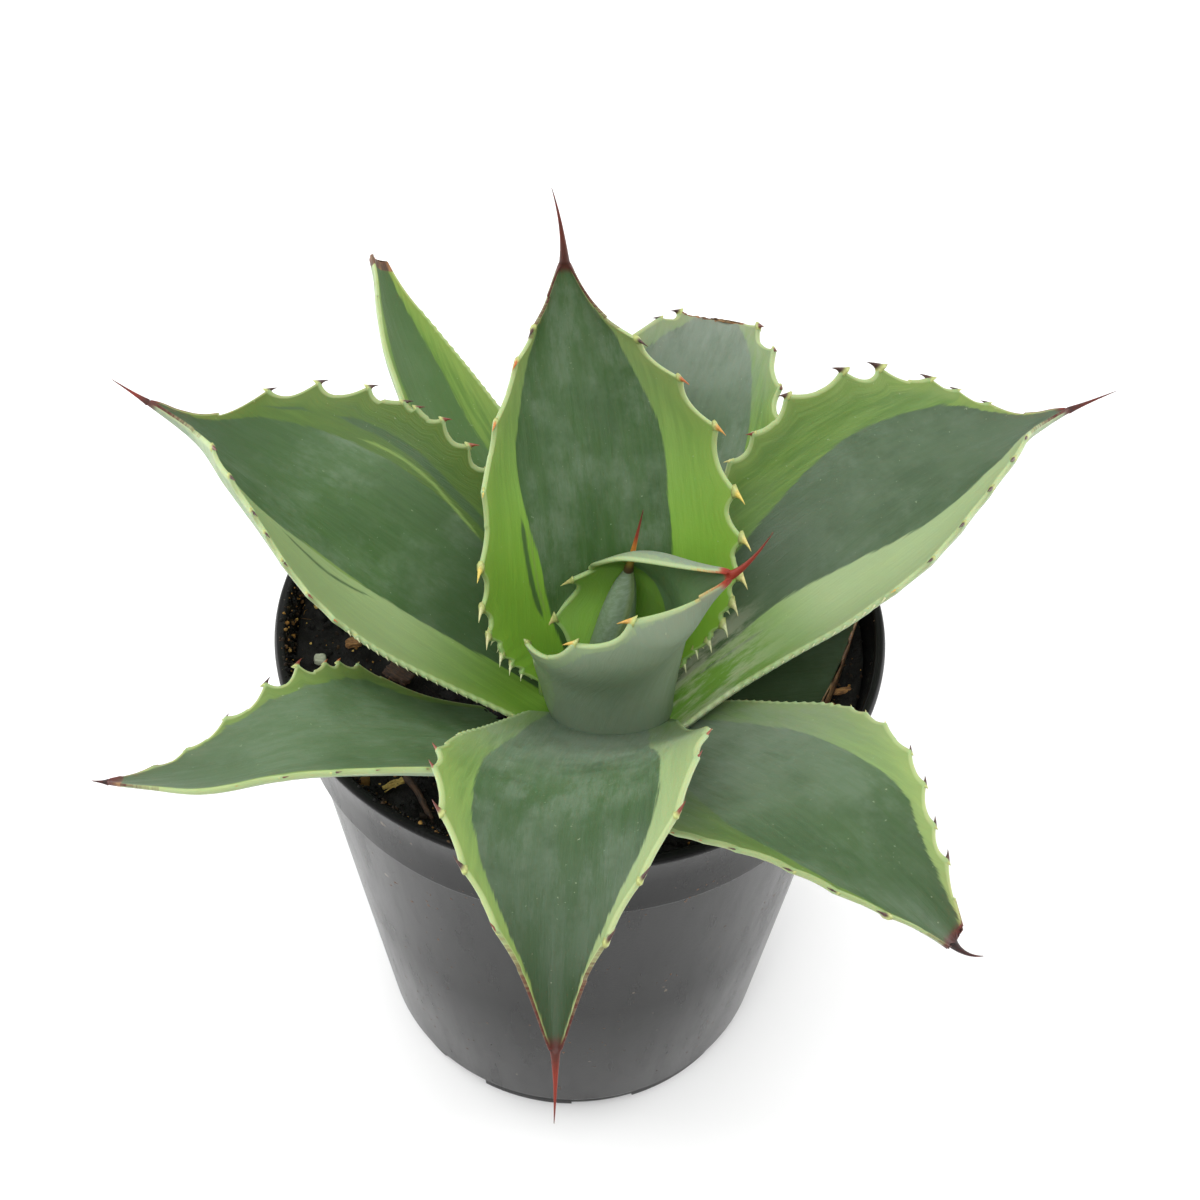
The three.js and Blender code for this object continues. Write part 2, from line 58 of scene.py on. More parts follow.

# Each leaf runs as its solid does, and is a little narrower at some feet and tips. Lists run
# from foot to tip; left and right are half-widths at STATIONS, cup and roll how it is hollowed
# and turned, seat the foot's distance from the crown and its height, body and edge thicknesses.
# flanks: shifts of the left margin, with the shares across and along where each starts and is
# whole; slim: how much narrower the blade is before its tip; reach, with slope and bulge: where
# a torn leaf ends; ragged: how deep and how quick its tear is; spine: its length, with the rise
# and turn it aims for, how soon (curl), its radius, and tones from yellow to near black.
# Colours and teeth are added; where sides differ, the left one comes first:
# border, dry: where along the leaf the margin turns to horn, and where the dried tip starts;
# fresh, bloom: how green, or how grey with wax, the dark middle is, bloom_from where to where;
# pale: a lighter lime, partly its own tone and partly painted light; painted_lime_shade, painted_shadow,
# painted_shade: painted shade on a lime band, over a whole leaf and on the dark middle; each a number or
# one for each of LIME_STATIONS;
# lime: width of the pale margin, as a share of the half-width, at LIME_STATIONS;
# streaks: kind, width in millimetres, and points (share of the length, side) of stripes;
# comb: stretch of the margin with fine teeth; regular: stretch with large ones out of sight;
# teeth: where each large tooth shows in the photograph, its length and its tone, from 0, cream,
# over 0.5, orange, to 1, dark.
# painted_glow and lift: painted light on inner leaves in shade, over the lime and over the dark middle;
# painted_foot_translucence and painted_inner_translucence: painted light shining through, a green near the
# foot and on an inner face.
LEAVES = {
    "leaf_inner_folded": dict(
        heading=-32, bend=14, rise=[93, 83, 80, 78, 31], length=71, left=[29, 38.5, 44, 41, 36, 30, 22, 9],
        right=[29, 36, 39, 42, 43.5, 38.5, 27, 14], cup=[150, 125, 122], roll=[16, 12, 55],
        seat=[13, 149.5], flanks=[(.1, .75, .66, .42, (0, -4.8, 5.2))], body=3.4, edge=1.4, slim=.25,
        spine=16, spine_rise=58, spine_turn=48, spine_curl=.35, spine_radius=1.15,
        spine_tone=[.62, .68, .72, .85], border=.92, border_tone=[.15, .62], border_mm=.08, under=.5,
        # Painted light on its faces in shade: the green of its inner face, its glow and lift, and much of
        # its bloom.
        fresh=.3, painted_inner_translucence=.9, bloom=.65, inner_bloom=.3, painted_glow=.9, lift=.7,
        lime=([.9, .9, .8, .6, .4, .2, .1, 0], [.12, .14, .2, .16, .1, .06, .04, 0]),
        teeth=(
            [(572, 572, 3.6, .1), (548, 614, 4.2, .1)],
            [(640, 624, 3.6, .35), (582, 639, 3.6, .3), (534, 650, 3.6, 0)],
        ),
    ),
    "leaf_back": dict(
        heading=105, bend=5, rise=[76, 63, 54, 55, 84], length=109,
        left=[20, 31, 37.5, 39, 36, 25.5, 15, 7], right=[17, 30, 36.5, 36.5, 34, 26, 16.5, 7],
        cup=[44, 60, 60], roll=[-9, 3, -15], seat=[9, 158], flanks=[(.5, 1, .3, .1, (0, -3, 4.5))], body=5,
        edge=1.3, slim=.1, spine=21, spine_rise=72, spine_turn=45, spine_radius=1.35,
        spine_tone=[.9, .8, .85, 1], border=.84, fresh=.2, painted_glow=.5,
        pale=([0, 0, 0, .1, .2, .3, .3, .3], [0, 0, .05, .2, .3, .4, .4, .4]), painted_shade=.08,
        lime=([.56, .56, .56, .47, .38, .28, .07, 0], [.5, .5, .49, .45, .4, .34, .1, 0]),
        streaks=[
            ("dark", 1.7, [(.43, .57), (.33, .545), (.16, .51)]),
            ("light", .7, [(.42, .52), (.32, .49), (.16, .47)]),
        ],
        comb=((.02, .2), (.02, .2)),
        teeth=(
            [(547, 331, 2.4, 1), (531, 365, 2.6, .5), (501, 423, 2.6, .45), (489, 490, 2, .2),
            (477, 566, 4, .2), (481, 607, 3.8, .05), (489, 637, 3.6, .05), (499, 660, 3.4, 0),
            (509, 673, 3, 0), (518, 684, 2.6, 0)],
            [(633, 336, 2.6, 1), (680, 372, 2.8, .55), (709, 426, 3.4, .4), (727, 493, 4.2, .2),
            (740, 538, 4.2, .15), (745, 578, 4.2, .1), (739, 608, 4, .05), (729, 632, 4, 0),
            (713, 649, 3.8, 0), (703, 661, 3.4, 0), (687, 675, 3, 0)],
        ),
    ),
    "leaf_front": dict(
        heading=-99, bend=13, rise=[35, 43, 34, -6, -41], length=140,
        left=[18.5, 22, 26.5, 30.5, 30, 25, 14, 6.5], right=[19, 23, 26.5, 30.5, 30.5, 24.5, 15, 6.5],
        cup=[17, 33, 62], roll=[3, 10, 1], seat=[11.5, 157], body=5.5, edge=1.3, slim=.1, spine=15,
        spine_rise=-43, spine_turn=-5, spine_radius=1.1, spine_tone=[.85, .7, .72, .9], border=.84,
        painted_foot_translucence=.2, bloom=.6, bloom_from=(.6, .15), pale=(.8, .15), painted_lime_shade=(.22, 0),
        painted_shade=[0, 0, 0, .1, .35, .6, .8, .9],
        lime=([.4, .43, .46, .39, .28, .21, .15, .1], [.18, .22, .29, .3, .27, .22, .16, .1]),
        tooth_scale=.62, scallop=.35, comb=((.02, .34), (.02, .36)),
        teeth=(
            [(699, 735, 3.8, .7), (688, 757, 3.4, .8), (662, 810, 4.4, .8), (618, 869, 4.2, 1),
            (592, 934, 4.2, 1)],
            [(435, 746, 3.8, .75), (437, 768, 3.8, .8), (449, 812, 4.6, .9), (471, 868, 4.4, 1),
            (501, 931, 3, .8)],
        ),
    ),
    "leaf_right": dict(
        heading=28, bend=-5, rise=[36, 32, 27, 16, 11], length=133,
        left=[20, 20.5, 25.5, 33, 36.5, 31.5, 23, 11], right=[22.5, 24.5, 28.5, 34, 36, 31.5, 22.5, 11],
        cup=[45, 66, 33], roll=[5, 12, -36], seat=[12, 156], body=6, edge=1.4, slim=.45, spine=15,
        spine_rise=10, spine_turn=0, spine_radius=.95, spine_tone=[.95, .85, .85, 1], border=.88, fresh=.1,
        bloom=.15, scurf=.5, pale=(0, .9), painted_shade=[.9, .9, .8, .5, .35, .45, .6, .7],
        lime=([.54, .54, .54, .5, .43, .33, .14, .02], [.74, .76, .8, .73, .6, .48, .38, .1]),
        streaks=[("dark", .8, [(.24, -.36), (.15, -.36), (.05, -.34)])], comb=((.02, .3), (.02, .46)),
        teeth=(
            [(994, 398, 2, 1), (962, 387, 2.2, 1), (935, 375, 3, 1), (884, 368, 3.8, 1), (845, 370, 3.4, 1),
            (784, 396, 2.8, 1), (749, 434, 2.2, .8), (731, 464, 2.4, .1)],
            [(1026, 441, 2, 1), (1011, 461, 2.4, 1), (989, 491, 2.4, 1), (960, 524, 2.2, 1),
            (927, 556, 2, 1), (893, 589, 2, .3)],
        ),
    ),
    "leaf_left": dict(
        heading=163, bend=2, rise=[28, 31, 31, 30, 29], length=132,
        left=[22.5, 25, 29, 33.5, 36, 32, 22.5, 11], right=[22.5, 23, 27.5, 33.5, 37.5, 32.5, 23.5, 11],
        cup=[31, 53, 36], roll=[-4, -10, 41], seat=[12, 156], body=6, edge=1.4, slim=.5, spine=11,
        spine_rise=24, spine_turn=-6, spine_radius=.9, spine_tone=[.95, .7, .8, 1], border=.88, fresh=.35,
        painted_foot_translucence=.35, pale=(.65, 0), painted_lime_shade=(0, .6), painted_shade=[.8, .8, .6, .05, .05, .3, .6, .8],
        lime=([.66, .66, .66, .66, .62, .44, .24, .02], [.4, .4, .39, .38, .4, .34, .22, .05]),
        streaks=[
            ("light", .9, [(.62, .38), (.55, .35), (.45, .33)]),
            ("dark", 2.4, [(.68, -.79), (.55, -.74), (.42, -.72), (.28, -.72)]),
            ("dark", 1, [(.82, -.86), (.72, -.79)]), ("dark", 1, [(.66, .49), (.54, .46), (.43, .39)]),
            ("light", .9, [(.63, -.66), (.46, -.66), (.31, -.61)]),
        ],
        comb=((.02, .46), (.02, .28)),
        teeth=(
            [(217, 446, 2.4, .9), (233, 475, 2.1, 1), (253, 512, 2, 1), (265, 534, 1.8, 1),
            (283, 561, 1.8, 1), (309, 593, 1.8, .8), (335, 617, 1.7, .5)],
            [(260, 391, 2.4, 1), (312, 386, 2.6, 1), (364, 393, 2.4, 1), (403, 403, 2.4, 1),
            (416, 409, 2.2, .9), (443, 422, 2.4, .8), (470, 448, 2.6, .7), (485, 475, 2.4, .2)],
        ),
    ),
    "leaf_front_right": dict(
        heading=-56, bend=15, rise=[41, 35, 27, 2, -29], length=120,
        left=[19, 22.5, 25.5, 30, 30, 24.5, 15, 8.5], right=[19, 22, 26, 30.5, 30.5, 23, 17, 9.5],
        cup=[18, 18, 44], roll=[-3, -2, -13], seat=[14, 152], body=5.5, edge=1.4, tip_half=3.4,
        ragged=(.012, 9), spine=8, spine_rise=-4, spine_turn=50, spine_radius=1.2, border=.95, dry=.985,
        fresh=.25, painted_foot_translucence=.2, bloom=.6, bloom_from=(.75, .3), pale=(.3, 0), painted_lime_shade=(0, .5),
        lime=([.4, .38, .36, .37, .34, .2, .22, .1], [.6, .6, .6, .5, .34, .14, .08, .04]), tooth_scale=.85,
        scallop=.55, comb=((.02, .42), (.02, .3)),
        teeth=(
            [(849, 707, 2, .1), (864, 712, 2, .1), (883, 725, 2.2, .1), (908, 753, 2.2, 1),
            (921, 787, 2.4, 1), (931, 828, 2.4, 1), (934, 867, 2.6, 1)],
            [(678, 835, 1.8, .6), (706, 841, 1.6, .5), (739, 848, 2, 1), (795, 867, 2.2, 1),
            (839, 887, 2.2, 1), (888, 913, 3, 1)],
        ),
    ),
    "leaf_front_left": dict(
        heading=219, bend=-38, rise=[21, 32, 29, -3, 0], length=128,
        left=[11, 15, 25, 26.5, 21, 16, 14, 8.5], right=[19.5, 23, 25, 30.5, 26.5, 20, 13, 6],
        cup=[18, 29, 20], roll=[32, 16, 30], seat=[16, 153.5], body=4.5, edge=1.4, slim=.2, spine=4,
        spine_rise=12, spine_turn=0, spine_radius=.8, border=.9, dry=.972, fresh=.4, painted_foot_translucence=.2,
        bloom=.1, painted_lime_shade=(0, .35),
        lime=([.1, .1, .1, .1, .12, .14, .12, .1], [.06, .08, .14, .14, .16, .1, .08, .06]),
        tooth_scale=.75,
        teeth=(
            [(421, 768, 1.6, .8), (373, 765, 1.7, .8), (332, 763, 2.2, 1), (281, 768, 2, .9),
            (234, 783, 1.5, .4)],
            [(156, 776, 1.2, .7), (186, 754, 1.7, .9), (224, 721, 2, 1), (266, 690, 2.8, 1),
            (297, 665, 3.2, .8), (326, 657, 2.6, .6), (341, 654, 2.8, .5), (363, 662, 2.4, .1)],
        ),
    ),
    "leaf_back_right": dict(
        heading=77, bend=-3, rise=[40, 35, 28, 14, 5], length=117,
        left=[20.5, 22.5, 27, 32, 33, 28.5, 20.5, 10], right=[15, 14, 19, 30, 32.5, 28, 20, 10],
        cup=[50, 54, 51], roll=[0, -5, -5], seat=[14, 149], body=5.5, edge=1.4, reach=.925,
        reach_bulge=.035, ragged=(.01, 7), bloom=.72, bloom_from=(.55, .9),
        lime=([.4, .4, .35, .3, .28, .26, .26, .26], [.4, .4, .38, .36, .35, .34, .25, .25]),
        comb=((.02, .45), (.02, .4)), regular=((.5, .66), (.45, .52)),
        teeth=(
            [(662, 315, 2.2, 1), (690, 315, 2.6, 1)],
            [(752, 331, 2.8, .9), (765, 355, 2.2, .9), (774, 390, 2.2, .9), (772, 420, 2, .8)],
        ),
    ),
    "leaf_back_left": dict(
        heading=125, bend=-17, rise=[22, 20, 19, 20, 22], length=148,
        left=[13, 14, 17, 20, 20.5, 17.5, 13, 6], right=[13, 14, 17, 20, 20.5, 17.5, 12.5, 6],
        cup=[50, 42, 38], roll=[-1, 26, 50], seat=[14, 149], body=5, edge=1.3, reach=.985, ragged=(.006, 5),
        dry=.955, fresh=1, lime=([.5, .5, .45, .4, .36, .34, .3, .3], [.5, .5, .5, .5, .5, .45, .4, .3]),
        comb_size=.5, comb=((.02, .5), (.02, .86)),
        teeth=(
            [(384, 298, 1.2, .9)],
            [],
        ),
    ),
    "leaf_low_right": dict(
        heading=3, bend=0, rise=[13, 10, 6, 4, 4], length=130, left=[20, 23, 28, 33, 33, 28, 20, 10],
        right=[20, 23, 28, 33, 33, 28, 20, 10], cup=[30, 20, 20], roll=[0, 0, 0], seat=[14, 154], body=5,
        # Painted shadow: this leaf lies low, in the shade of the others.
        edge=1.4, reach=.35, reach_slope=.11, ragged=(.004, 14), fresh=.2, painted_shadow=.8,
        lime=([.4, .36, .3, .3, .3, .3, .3, .3], [.4, .36, .3, .3, .3, .3, .3, .3]),
        comb=((.02, .4), (.02, .22)),
    ),
}

TOOTH_GAIN = 0.3  # dark teeth are this share longer than their lengths above
COMB_STEP = 2.7  # fine teeth near a leaf's foot: their spacing and length
COMB_LENGTH = 1.7
REGULAR_STEP = 14  # large teeth that the photograph hides: their spacing and length
REGULAR_LENGTH = 2.3
SCALLOP = 2.6  # how far the margin stands out under a large tooth of this length
CUSP_REACH = (3.0, 9.0)  # least and most half-width of a cusp, and that of one by itself
CUSP_ALONE = 7.0
WAVE = 0.42  # height of a blade's gentle swells
TIP_HALF = 2.85  # half-width where a leaf without a spine ends
HEEL = 5  # how far a leaf runs on below its foot

BUD = {
    "foot": (6.5, -17, 161.3), "length": 38, "spine": 21, "heading": 10, "lean": 5.4,
    "shares": [0, 0.3, 0.6, 0.85, 1], "radii": [6, 5.3, 4.5, 3.0, 1.25], "spine_tip": 0.1,
    "seam": 4.1, "seam_turn": 1.6, "seam_step": 0.28,
}

POT = {
    "height": 165, "collar": 138, "floor_low": 4.5, "floor_high": 6.7, "foot_outer": 59,
    "foot_inner": 52, "pad": 12, "sides": 192, "gap_turn": -34, "deep_span": 16,
    "shallow_span": 19, "shallow_depth": 1.2, "hole": 4.5, "hole_at": 46,
}
POT_OUTSIDE = [
    (53, 4.5), (57.2, 4.5), (58.6, 4.75), (59.7, 5.4), (60.5, 6.3), (61.0, 7.6), (68.7, 72),
    (76.35, 136.6), (76.5, 137.1), (76.9, 137.3), (77.7, 137.4), (78.1, 137.8), (78.2, 138.4),
    (78.3, 140.6), (79.9, 152), (81.2, 161.2), (81.6, 162.2), (82.2, 162.6), (82.5, 163.2),
    (82.5, 164), (82.2, 164.6), (81.6, 165), (80.6, 165), (80, 164.7), (79.6, 164.1),
    (79.3, 162.6), (74.5, 138), (66.3, 70), (59.3, 11), (58.4, 8.2), (57, 7.0), (55.8, 6.7),
    (53, 6.7),
]
FLOOR_RADII = [14, 27, 38, 41, 43.5, 46, 48.5, 51, 53]
SOIL = {"level": 151, "rise": 6, "bottom": 7, "gap": 0.6, "rings": 96, "sides": 260}
CLING_INSET = 0.45  # where crumbs cling to the wall, and radius and height of those on the lip
CLING_HEIGHTS = (155.5, 159, 163.2)
CLING_LIP = [(79.6, 164.5), (80.9, 165.1)]

# Loose bits on the soil: where they lie, their length, width and thickness, and their turn;
# for lumps also a seed, how square and how rough they are.
LITTER = {
    "bark_chip_left": dict(at=(-49, -14), size=(9, 5, 2), turn=-35, lump=(1, 0.5, 0.34)),
    "bark_chip_edge": dict(at=(-62, -4), size=(5, 3.4, 2), turn=20, lump=(2, 0.5, 0.3)),
    "pale_granule": dict(at=(-70, -12), size=(3.6, 3.6, 2.6), turn=0, lump=(3, 0.25, 0.12)),
    "seed_husk": dict(at=(-73, 8), size=(3.4, 2.4, 2), turn=60, lump=(4, 0.1, 0.14)),
    "twig_front": dict(at=(-39, -57), size=(15, 2.4, 2.2), turn=-55),
    "fibre_tuft": dict(at=(-46, -53), size=(6, 4, 2.4), turn=30),
    "splinter_right": dict(at=(71, -17), size=(9, 2.2, 1.8), turn=15),
}

# ---- curves and sections


def smooth(knots, values, x):
    """The smooth curve through the values at the knots, as the leaf solids use."""
    knots, values, x = (np.asarray(a, float) for a in (knots, values, x))
    slope = np.empty_like(values)
    slope[1:-1] = (values[2:] - values[:-2]) / (knots[2:] - knots[:-2])
    slope[0] = (values[1] - values[0]) / (knots[1] - knots[0])
    slope[-1] = (values[-1] - values[-2]) / (knots[-1] - knots[-2])
    i = np.clip(np.searchsorted(knots, x) - 1, 0, len(knots) - 2)
    h = knots[i + 1] - knots[i]
    s = (x - knots[i]) / h
    start = (2 * s - 3) * s * s + 1
    leave = ((s - 2) * s + 1) * s * h
    arrive = (s - 1) * s * s * h
    return start * values[i] + (1 - start) * values[i + 1] + leave * slope[i] + arrive * slope[i + 1]


def spread(values, t):
    return smooth(np.linspace(0, 1, len(values)), values, t)


def ease(low, high, x):
    s = np.clip((np.asarray(x, float) - low) / (high - low), 0, 1)
    return s * s * (3 - 2 * s)


def heading_at(leaf, t):
    return np.radians(leaf["heading"] + leaf["bend"] * np.square(t))


def direction_at(leaf, t):
    rise, heading = np.radians(spread(leaf["rise"], t)), heading_at(leaf, t)
    run = np.cos(rise)
    return np.stack([np.cos(heading) * run, np.sin(heading) * run, np.sin(rise)], -1)


def midrib_at(leaf, t):
    fine = 480
    turn = math.radians(leaf["heading"])
    radius, height = leaf["seat"]
    start = np.array([CROWN[0] + radius * math.cos(turn), CROWN[1] + radius * math.sin(turn), height])
    steps = direction_at(leaf, (np.arange(fine) + 0.5) / fine) * leaf["length"] / fine
    path = start + np.vstack([np.zeros(3), np.cumsum(steps, 0)])
    shares = np.linspace(0, 1, fine + 1)
    return np.stack([np.interp(t, shares, path[:, k]) for k in range(3)], -1)


def section_at(leaf, t):
    """Centre, direction of growth, side and up of the leaf's cross-section at t."""
    along, heading = direction_at(leaf, t), heading_at(leaf, t)
    roll = np.radians(spread(leaf["roll"], t))[..., None]
    flat = np.stack([-np.sin(heading), np.cos(heading), np.zeros_like(heading)], -1)
    lift = np.cross(along, flat)
    side = flat * np.cos(roll) + lift * np.sin(roll)
    up = lift * np.cos(roll) - flat * np.sin(roll)
    return midrib_at(leaf, t), along, side, up


def half_width(leaf, t, u):
    tip = leaf.get("tip_half", leaf["spine_radius"] * 0.95 if "spine" in leaf else TIP_HALF)
    left = smooth(STATIONS, leaf["left"] + [tip], t)
    right = smooth(STATIONS, leaf["right"] + [tip], t)
    slim = 1 - leaf.get("slim", 0) * ease(0.8, 0.93, t) * ease(1.01, 0.95, t)
    return np.maximum(np.where(np.asarray(u) > 0, left, right) * slim, 0.5)


def thickness_at(leaf, t, u):
    body = leaf["body"]
    middle = spread([body * 1.25, body, body * 0.75, body * 0.6, leaf.get("spine_radius", 1.5) * 1.4], t)
    edge = leaf["edge"] * (1 - 0.6 * ease(0.8, 1.0, t))
    return edge + (middle - edge) * (1 - np.abs(u) ** 2.2)


def undulation(leaf, t, across):
    """Gentle swells that both faces of a blade share, none at its foot or tip."""
    along, own = t * leaf["length"], leaf["heading"]
    swell = np.sin(0.085 * along + 0.06 * across + own) * np.cos(0.07 * across - 0.02 * along)
    ripple = 0.4 * np.sin(0.19 * along - 0.1 * across + 2 * own)
    return WAVE * ease(0.3, 0.55, t) * ease(1.0, 0.9, t) * (swell + ripple)


def blade_point(leaf, t, u, depth, grow=0.0, out=0.0):
    """A point of the blade: depth runs from the upper face down through it, grow lets the outer
    part of the blade reach further round, and out carries the point beyond the margin."""
    centre, _, side, up = section_at(leaf, t)
    half = half_width(leaf, t, u)
    fold = np.radians(np.maximum(spread(leaf["cup"], t), 1))
    radius = half / fold
    outer = np.clip((np.abs(u) - 0.7) / 0.3, 0, 1) ** 2
    angle = fold * u + np.sign(u) * grow * outer / radius
    round_to = radius + depth - undulation(leaf, t, u * half)
    across = round_to * np.sin(angle) + np.sign(u) * out * np.cos(angle)
    lift = radius - round_to * np.cos(angle) + np.sign(u) * out * np.sin(angle)
    point = centre + side * across[..., None] + up * lift[..., None]
    for inner, rim, far, near, shift in leaf.get("flanks", []):
        point = point + (ease(inner, rim, u) * ease(far, near, t))[..., None] * np.array(shift)
    return point


# ---- the photograph's camera


def camera_axes():
    rise, roll = math.radians(CAMERA["elevation"]), math.radians(CAMERA["roll"])
    ahead = Vector((0, math.cos(rise), -math.sin(rise)))
    over = Vector((0, math.sin(rise), math.cos(rise)))
    level = Vector((1, 0, 0))
    right = level * math.cos(roll) + over * math.sin(roll)
    up = over * math.cos(roll) - level * math.sin(roll)
    return right, up, ahead


def to_picture(points):
    """Pixel coordinates of points given in millimetres."""
    right, up, ahead = (np.array(axis) for axis in camera_axes())
    place = np.array(LOOK_AT) - ahead * CAMERA["distance"]
    offset = points - place
    scale = PICTURE * CAMERA["lens"] / CAMERA["sensor"] / (offset @ ahead)
    return np.stack([PICTURE / 2 + scale * (offset @ right), PICTURE / 2 - scale * (offset @ up)], -1)


def add_camera():
    right, up, ahead = camera_axes()
    data = bpy.data.cameras.new("camera")
    data.lens = CAMERA["lens"]
    data.sensor_width = CAMERA["sensor"]
    data.clip_start = 0.01
    camera = bpy.data.objects.new("camera", data)
    turn = Matrix((right, up, -ahead)).transposed().to_4x4()
    camera.matrix_world = Matrix.Translation((LOOK_AT - ahead * CAMERA["distance"]) * MM) @ turn
    bpy.context.scene.collection.objects.link(camera)
    bpy.context.scene.camera = camera


# ---- meshes


def link(name, mesh):
    piece = bpy.data.objects.new(name, mesh)
    bpy.context.scene.collection.objects.link(piece)
    return piece


def make_mesh(name, points, faces, values=None, closed=False, weld=0.0, crease=None):
    """A smooth-shaded mesh from points in millimetres, with named values at its vertices. A
    closed one has its faces turned outwards and, as asked, points welded and creases kept."""
    mesh = bpy.data.meshes.new(name)
    mesh.from_pydata((np.asarray(points, float) * MM).tolist(), [], faces)
    for key, numbers in (values or {}).items():
        numbers = np.asarray(numbers, np.float32)
        kind, field = ("FLOAT", "value") if numbers.ndim == 1 else ("FLOAT_VECTOR", "vector")
        mesh.attributes.new(key, kind, "POINT").data.foreach_set(field, numbers.ravel())
    if closed:
        shell = bmesh.new()
        shell.from_mesh(mesh)
        if weld:
            bmesh.ops.remove_doubles(shell, verts=shell.verts, dist=weld * MM)
        bmesh.ops.recalc_face_normals(shell, faces=shell.faces)
        for edge in shell.edges if crease else []:
            edge.smooth = len(edge.link_faces) != 2 or edge.calc_face_angle(0) < math.radians(crease)
        shell.to_mesh(mesh)
        shell.free()
    mesh.polygons.foreach_set("use_smooth", [True] * len(mesh.polygons))
    mesh.update()
    return mesh


def skin_faces(rings, count, near=True, far=True):
    """Quads over rings of equal, even point counts, each end closed by a strip across it."""
    faces = []
    for r in range(rings - 1):
        for i in range(count):
            a, b = r * count + i, r * count + (i + 1) % count
            faces.append((a, b, b + count, a + count))
    last = (rings - 1) * count
    for i in range(count // 2 - 1):
        facing = count - 1 - i
        if near:
            faces.append((i, facing, facing - 1, i + 1))
        if far:
            faces.append((last + i, last + i + 1, last + facing - 1, last + facing))
    return faces


def join(pieces):
    """Joins pieces into the first, with their materials and named values."""
    with bpy.context.temp_override(active_object=pieces[0], selected_editable_objects=pieces):
        bpy.ops.object.join()
    return pieces[0]


def finish_piece(piece, slot, *nodes):
    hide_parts(*nodes)
    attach(piece, "root")


def lumps(points, scale, seed=0.0):
    """Fractal noise, about -1 to 1, at each point."""
    return np.array([noise.fractal(Vector(p) * scale + Vector((seed, 0, 0)), 1.0, 2.0, 4) for p in points])


# ---- node trees


class Tree:
    """Short words for building a node tree."""

    def __init__(self, tree):
        self.tree = tree

    def add(self, kind, inputs=None, **settings):
        node = self.tree.nodes.new(kind)
        for key, value in settings.items():
            setattr(node, key, value)
        for key, value in (inputs or {}).items():
            self.put(node.inputs[key], value)
        return node

    def put(self, socket, value):
        if isinstance(value, bpy.types.NodeSocket):
            self.tree.links.new(value, socket)
        else:
            socket.default_value = value

    def math(self, operation, a, b=0.0):
        return self.add("ShaderNodeMath", {0: a, 1: b}, operation=operation).outputs[0]

    def times(self, a, b):
        return self.math("MULTIPLY", a, b)

    def plus(self, a, b):
        return self.math("ADD", a, b)

    def about(self, value, gain):
        """How far a grain is from its middle, times the gain."""
        return self.times(self.math("SUBTRACT", value, 0.5), gain)

    def ramp(self, value, low, high, to_low=0.0, to_high=1.0):
        """A smooth step from one value to another."""
        inputs = {"Value": value, "From Min": low, "From Max": high, "To Min": to_low, "To Max": to_high}
        return self.add("ShaderNodeMapRange", inputs, interpolation_type="SMOOTHSTEP").outputs["Result"]

    def vector(self, x, y, z=0.0):
        return self.add("ShaderNodeCombineXYZ", {0: x, 1: y, 2: z}).outputs[0]

    def split(self, vector):
        return self.add("ShaderNodeSeparateXYZ", {0: vector}).outputs

    def stretched(self, place, *scale):
        return self.add("ShaderNodeMapping", {"Vector": place, "Scale": scale}).outputs[0]

    def named(self, name, part="Fac"):
        return self.add("ShaderNodeAttribute", attribute_name=name).outputs[part]

    def place(self):
        return self.add("ShaderNodeTexCoord").outputs["Object"]

    def grain(self, place, scale, detail=2.0, roughness=0.5):
        inputs = {"Vector": place, "Scale": scale, "Detail": detail, "Roughness": roughness}
        return self.add("ShaderNodeTexNoise", inputs).outputs["Fac"]

    def given(self, kind, name):
        """A named value of the geometry, in a Geometry Nodes tree."""
        node = self.add("GeometryNodeInputNamedAttribute", {"Name": name}, data_type=kind)
        return node.outputs["Attribute"]

    def layers(self, colour, *over):
        """Lays colours over one another: each of the later ones comes with its share."""
        for share, tone in over:
            node = self.add("ShaderNodeMix", data_type="RGBA")
            for at, value in ((0, share), (6, colour), (7, tone)):
                self.put(node.inputs[at], srgb(*value) if isinstance(value, tuple) else value)
            colour = node.outputs[2]
        return colour

    def tones(self, value, first, *others):
        """A colour for each position from 0 to 1."""
        node = self.add("ShaderNodeValToRGB", {"Fac": value})
        stops = node.color_ramp.elements
        for stop, (position, tone) in ((stops[0], first), (stops[1], others[-1])):
            stop.position, stop.color = position, srgb(*tone)
        for position, tone in others[:-1]:
            stops.new(position).color = srgb(*tone)
        return node.outputs["Color"]


class Skin(Tree):
    """A material with one Principled shader."""

    def __init__(self, name, roughness=0.5, **fixed):
        self.material = bpy.data.materials.new(name)
        self.material.use_nodes = True
        super().__init__(self.material.node_tree)
        self.sockets = self.tree.nodes["Principled BSDF"].inputs
        for key, value in {"Roughness": roughness, **fixed}.items():
            self.sockets[key.replace("_", " ")].default_value = value

    def finish(self, colour, rough=None, relief=None, depth=0.0, strength=1.0):
        self.put(self.sockets["Base Color"], colour)
        if rough is not None:
            self.put(self.sockets["Roughness"], rough)
        if relief is not None:
            node = self.add("ShaderNodeBump", {"Height": relief, "Strength": strength, "Distance": depth})
            self.put(self.sockets["Normal"], node.outputs["Normal"])
        return self.material


def srgb(red, green, blue):
    """A screen colour, 0 to 255, as a linear one."""
    channel = [c / 255 for c in (red, green, blue)]
    linear = [c / 12.92 if c < 0.04045 else ((c + 0.055) / 1.055) ** 2.4 for c in channel]
    return (*linear, 1.0)


# ---- materials


